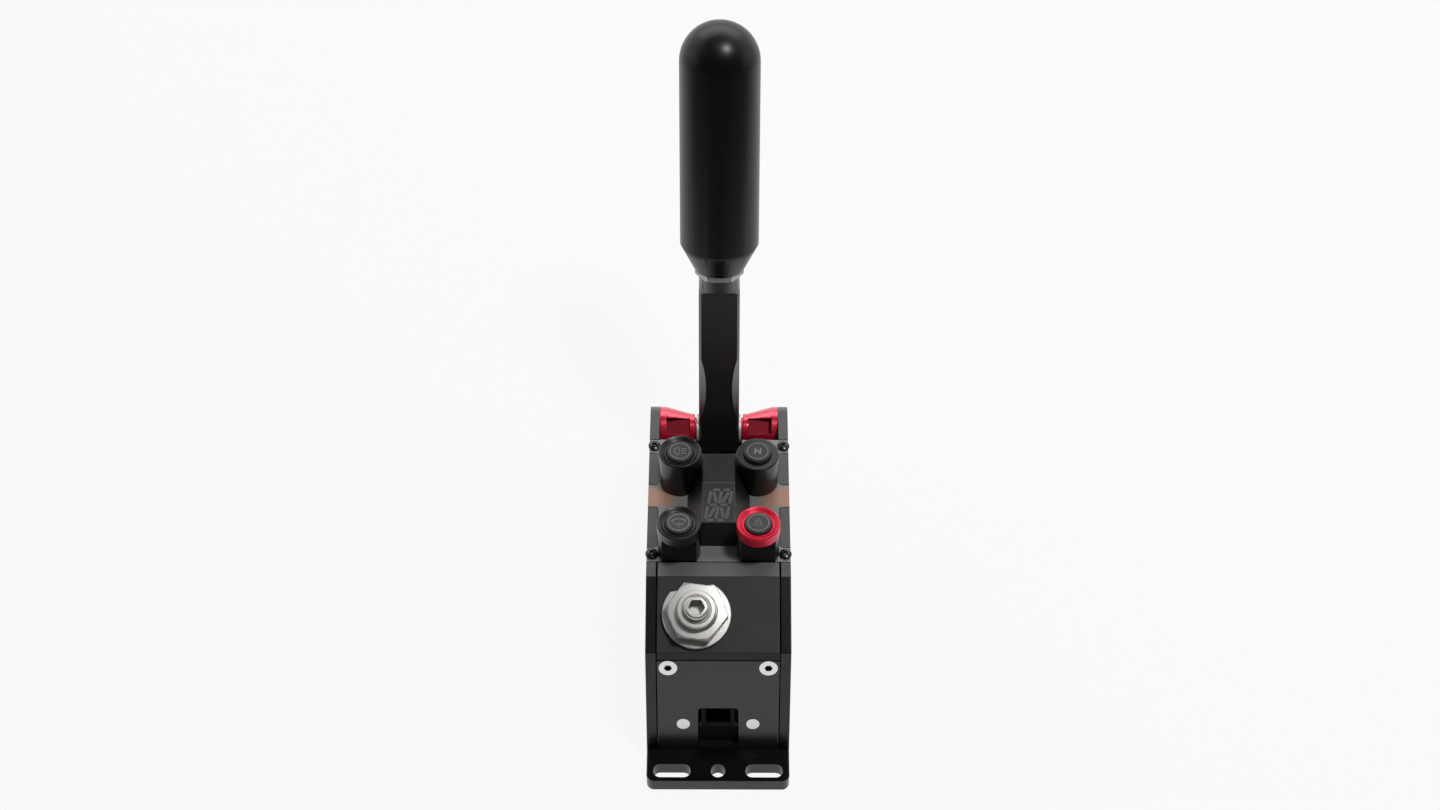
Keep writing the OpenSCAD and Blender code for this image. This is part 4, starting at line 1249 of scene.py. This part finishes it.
@dataclass
class Preload:
    """Nut, rod and springs that set the lever's resistance.

    The share of its length that a spring keeps when the lever squashes it is not used.
    """

    frame: Frame
    softener: Softener
    coil: CoilTool
    edge: float = 0.3 * MM
    wire: float = 0.9 * MM
    turns: float = 4.0
    keep: float = 0.58
    free_play: float = 1.8 * MM

    def build(self) -> None:
        """Dresses the nut and the rod and winds the springs."""
        entry = joint(self.frame, "preload_turn")
        axis = -Vector(entry["axis"])
        centre = tuple(Vector(entry["pos_m"]))
        tilt = math.atan2(-axis.y, axis.z)
        turned = replace(TURNED_STEEL, centre=centre, tilt=tilt)
        dull = replace(WASHER_STEEL, centre=centre, tilt=tilt)
        for node, finish in (("preload_washer", dull), ("preload_nut", turned), ("preload_rod", turned)):
            self.softener.soften(node, finish, self.edge)
        dress(self.frame, STEEL, "rod_seat", "rod_lock_nut")
        dress(self.frame, NYLON, "nut_insert")
        self.wind("upper_spring", Body.HOUSING, axis, 0.0)
        self.wind("lower_spring", Body.ROD, -axis, self.free_play)

    def wind(self, node: str, body: str, axis: Vector, play: float) -> None:
        """Winds a round wire in the place of a spring's solid.

        Args:
            node: Name of the CAD node.
            body: Body that the spring rides on.
            axis: Direction along the rod from the rocker arm to the spring's seat.
            play: Free play at the arm's end, which the rod takes up.
        """
        place = Placement.facing(middle(node), axis)
        high = reach(self.frame, node, axis) - place.origin.dot(axis)
        low = play - reach(self.frame, node, -axis) - place.origin.dot(axis)
        side = reach(self.frame, node, RIGHT) - place.origin.x
        mesh = self.coil.run(
            bpy.data.meshes.new(node), SPRING_STEEL, Turns=self.turns, Radius=side - self.wire,
            Rise=high - low - 2 * self.wire, Wire=self.wire)
        mesh.shade_smooth()
        mesh.transform(place.raised(low + self.wire).matrix())
        spring = link(node + "_wire", mesh, body, SPRING_STEEL)
        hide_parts(node)
        place.origin + axis * high
        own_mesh(spring)


@dataclass(frozen=True)
class Lamp:
    """A softbox, with its sizes in metres and its power in watts."""

    name: str
    place: Spot
    size: Flat
    power: float


LAMPS = (
    Lamp("back_softbox", (0.0, 1.25, 1.12), (2.2, 0.9), 10.0),
    Lamp("top_softbox", (0.0, -0.08, 1.9), (0.8, 0.6), 0.8),
    Lamp("key_lamp", (0.54, -0.13, 1.85), (0.26, 0.26), 12.2),
    Lamp("left_softbox", (-1.3, 0.1, 0.45), (0.9, 0.7), 0.7),
    Lamp("right_softbox", (1.3, 0.1, 0.45), (0.9, 0.7), 0.7),
)


@dataclass
class Studio:
    """Floor, lamps, sky and camera."""

    floor_size: float = 0.9
    floor_grey: float = 0.9
    floor_light: float = 0.9
    sky: float = 0.09
    white: float = 1.0
    horizon: float = 0.956
    behind_slope: float = 1.1
    behind_start: float = 0.34
    top_slope: float = 4.0
    top_start: float = 3.5
    lens: float = 60.0
    sensor: float = 36.0
    nearest: float = 0.01
    elevation: float = 53.5
    roll: float = 0.16
    camera_place: Spot = (0.00045, -0.5891, 0.9534)
    aim: Spot = (0.0, 0.02, 0.09)
    lamps: tuple[Lamp, ...] = LAMPS

    def build(self) -> None:
        """Sets up the studio."""
        bpy.context.scene.view_settings.view_transform = "Standard"
        self.lay_floor()
        self.set_sky()
        for lamp in self.lamps:
            self.hang_lamp(lamp)
        self.set_camera()

    @staticmethod
    def ray(graph: Graph, kind: str) -> Socket:
        """One for rays of a kind."""
        return graph.node("ShaderNodeLightPath", output=f"Is {kind} Ray")

    def seen(self, graph: Graph) -> Socket:
        """One for rays that show the background in the picture or through glass."""
        return self.ray(graph, "Camera").larger(self.ray(graph, "Transmission"))

    def lay_floor(self) -> None:
        """Lays a white floor that keeps a faint shadow."""
        mesh = bpy.data.meshes.new("floor")
        half = self.floor_size / 2
        corners = [(-half, -half, 0.0), (half, -half, 0.0), (half, half, 0.0), (-half, half, 0.0)]
        mesh.from_pydata(corners, [], [(0, 1, 2, 3)])
        floor = placed("floor", mesh)
        made = bpy.data.materials.new("floor_white")
        made.use_nodes = True
        made.node_tree.nodes.clear()
        graph = Graph(made.node_tree)
        grey = self.floor_grey
        paint = graph.node("ShaderNodeBsdfDiffuse", None, {"Color": (grey, grey, grey, 1.0)})
        glow = graph.node("ShaderNodeEmission", None, {"Color": WHITE, "Strength": self.white})
        shown = self.seen(graph).larger(self.ray(graph, "Glossy"))
        mixed = graph.node("ShaderNodeMixShader", None, {0: shown * self.floor_light, 1: paint, 2: glow})
        graph.node("ShaderNodeOutputMaterial", None, {"Surface": mixed})
        mesh.materials.append(made)

    def set_sky(self) -> None:
        """Gives the world an even soft light and a white look."""
        world = bpy.data.worlds.new("studio")
        bpy.context.scene.world = world
        world.use_nodes = True
        world.node_tree.nodes.clear()
        graph = Graph(world.node_tree)
        seen = self.seen(graph)
        lit = self.sky + self.ray(graph, "Glossy") * (self.white - self.sky) * self.backdrop(graph)
        strength = seen * self.horizon + (1 - seen) * lit
        glow = graph.node("ShaderNodeBackground", None, {"Color": WHITE, "Strength": strength})
        graph.node("ShaderNodeOutputWorld", None, {"Surface": glow})

    def backdrop(self, graph: Graph) -> Socket:
        """Share of the white that gloss shows: full behind, a third at the sides, none in front and overhead.

        Args:
            graph: Graph of the world.

        Returns:
            The share, from zero to one.
        """
        towards = graph.node("ShaderNodeTexCoord", output="Generated")
        depth, height = (graph.node("ShaderNodeSeparateXYZ", None, {0: towards}, axis) for axis in "YZ")
        behind = depth * self.behind_slope + self.behind_start
        below = self.top_start - height * self.top_slope
        return behind.clamped() * below.clamped()

    def hang_lamp(self, lamp: Lamp) -> None:
        """Hangs a softbox that faces the object.

        Args:
            lamp: The softbox.
        """
        light = bpy.data.lights.new(lamp.name, "AREA")
        light.shape = "RECTANGLE"
        light.size, light.size_y = lamp.size
        light.energy = lamp.power
        held = placed(lamp.name, light)
        held.location = lamp.place
        held.rotation_euler = (Vector(self.aim) - Vector(lamp.place)).to_track_quat("-Z", "Y").to_euler()

    def set_camera(self) -> None:
        """Puts the camera where the picture was taken from."""
        camera = bpy.data.cameras.new("camera")
        camera.lens = self.lens
        camera.sensor_width = self.sensor
        camera.clip_start = self.nearest
        held = placed("camera", camera)
        tilt = Matrix.Rotation(math.radians(90 - self.elevation), 4, "X")
        turn = Matrix.Rotation(math.radians(self.roll), 4, "Z")
        held.matrix_world = Matrix.Translation(self.camera_place) @ tilt @ turn
        bpy.context.scene.camera = held


def main() -> None:
    """Builds the pieces in order."""
    logging.basicConfig(level=logging.INFO, format="%(name)s: %(message)s")
    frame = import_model()
    softener = Softener(frame)
    strokes = StrokeTool()
    corners = Corners.between(frame)
    Housing(frame, softener, corners).build()
    Cover(frame, softener, strokes, corners).build()
    for name, sign, finish in (
        ("rear_left", Sign.LAMP, RING_BLACK),
        ("rear_right", Sign.NEUTRAL, RING_BLACK),
        ("front_left", Sign.WASHER, RING_BLACK),
        ("front_right", Sign.HAZARD, RING_RED),
    ):
        Button(frame, softener, strokes, name, sign, finish).build()
    Lever(frame, softener).build()
    Preload(frame, softener, CoilTool()).build()
    Studio().build()


if __name__ == "__main__":
    main()
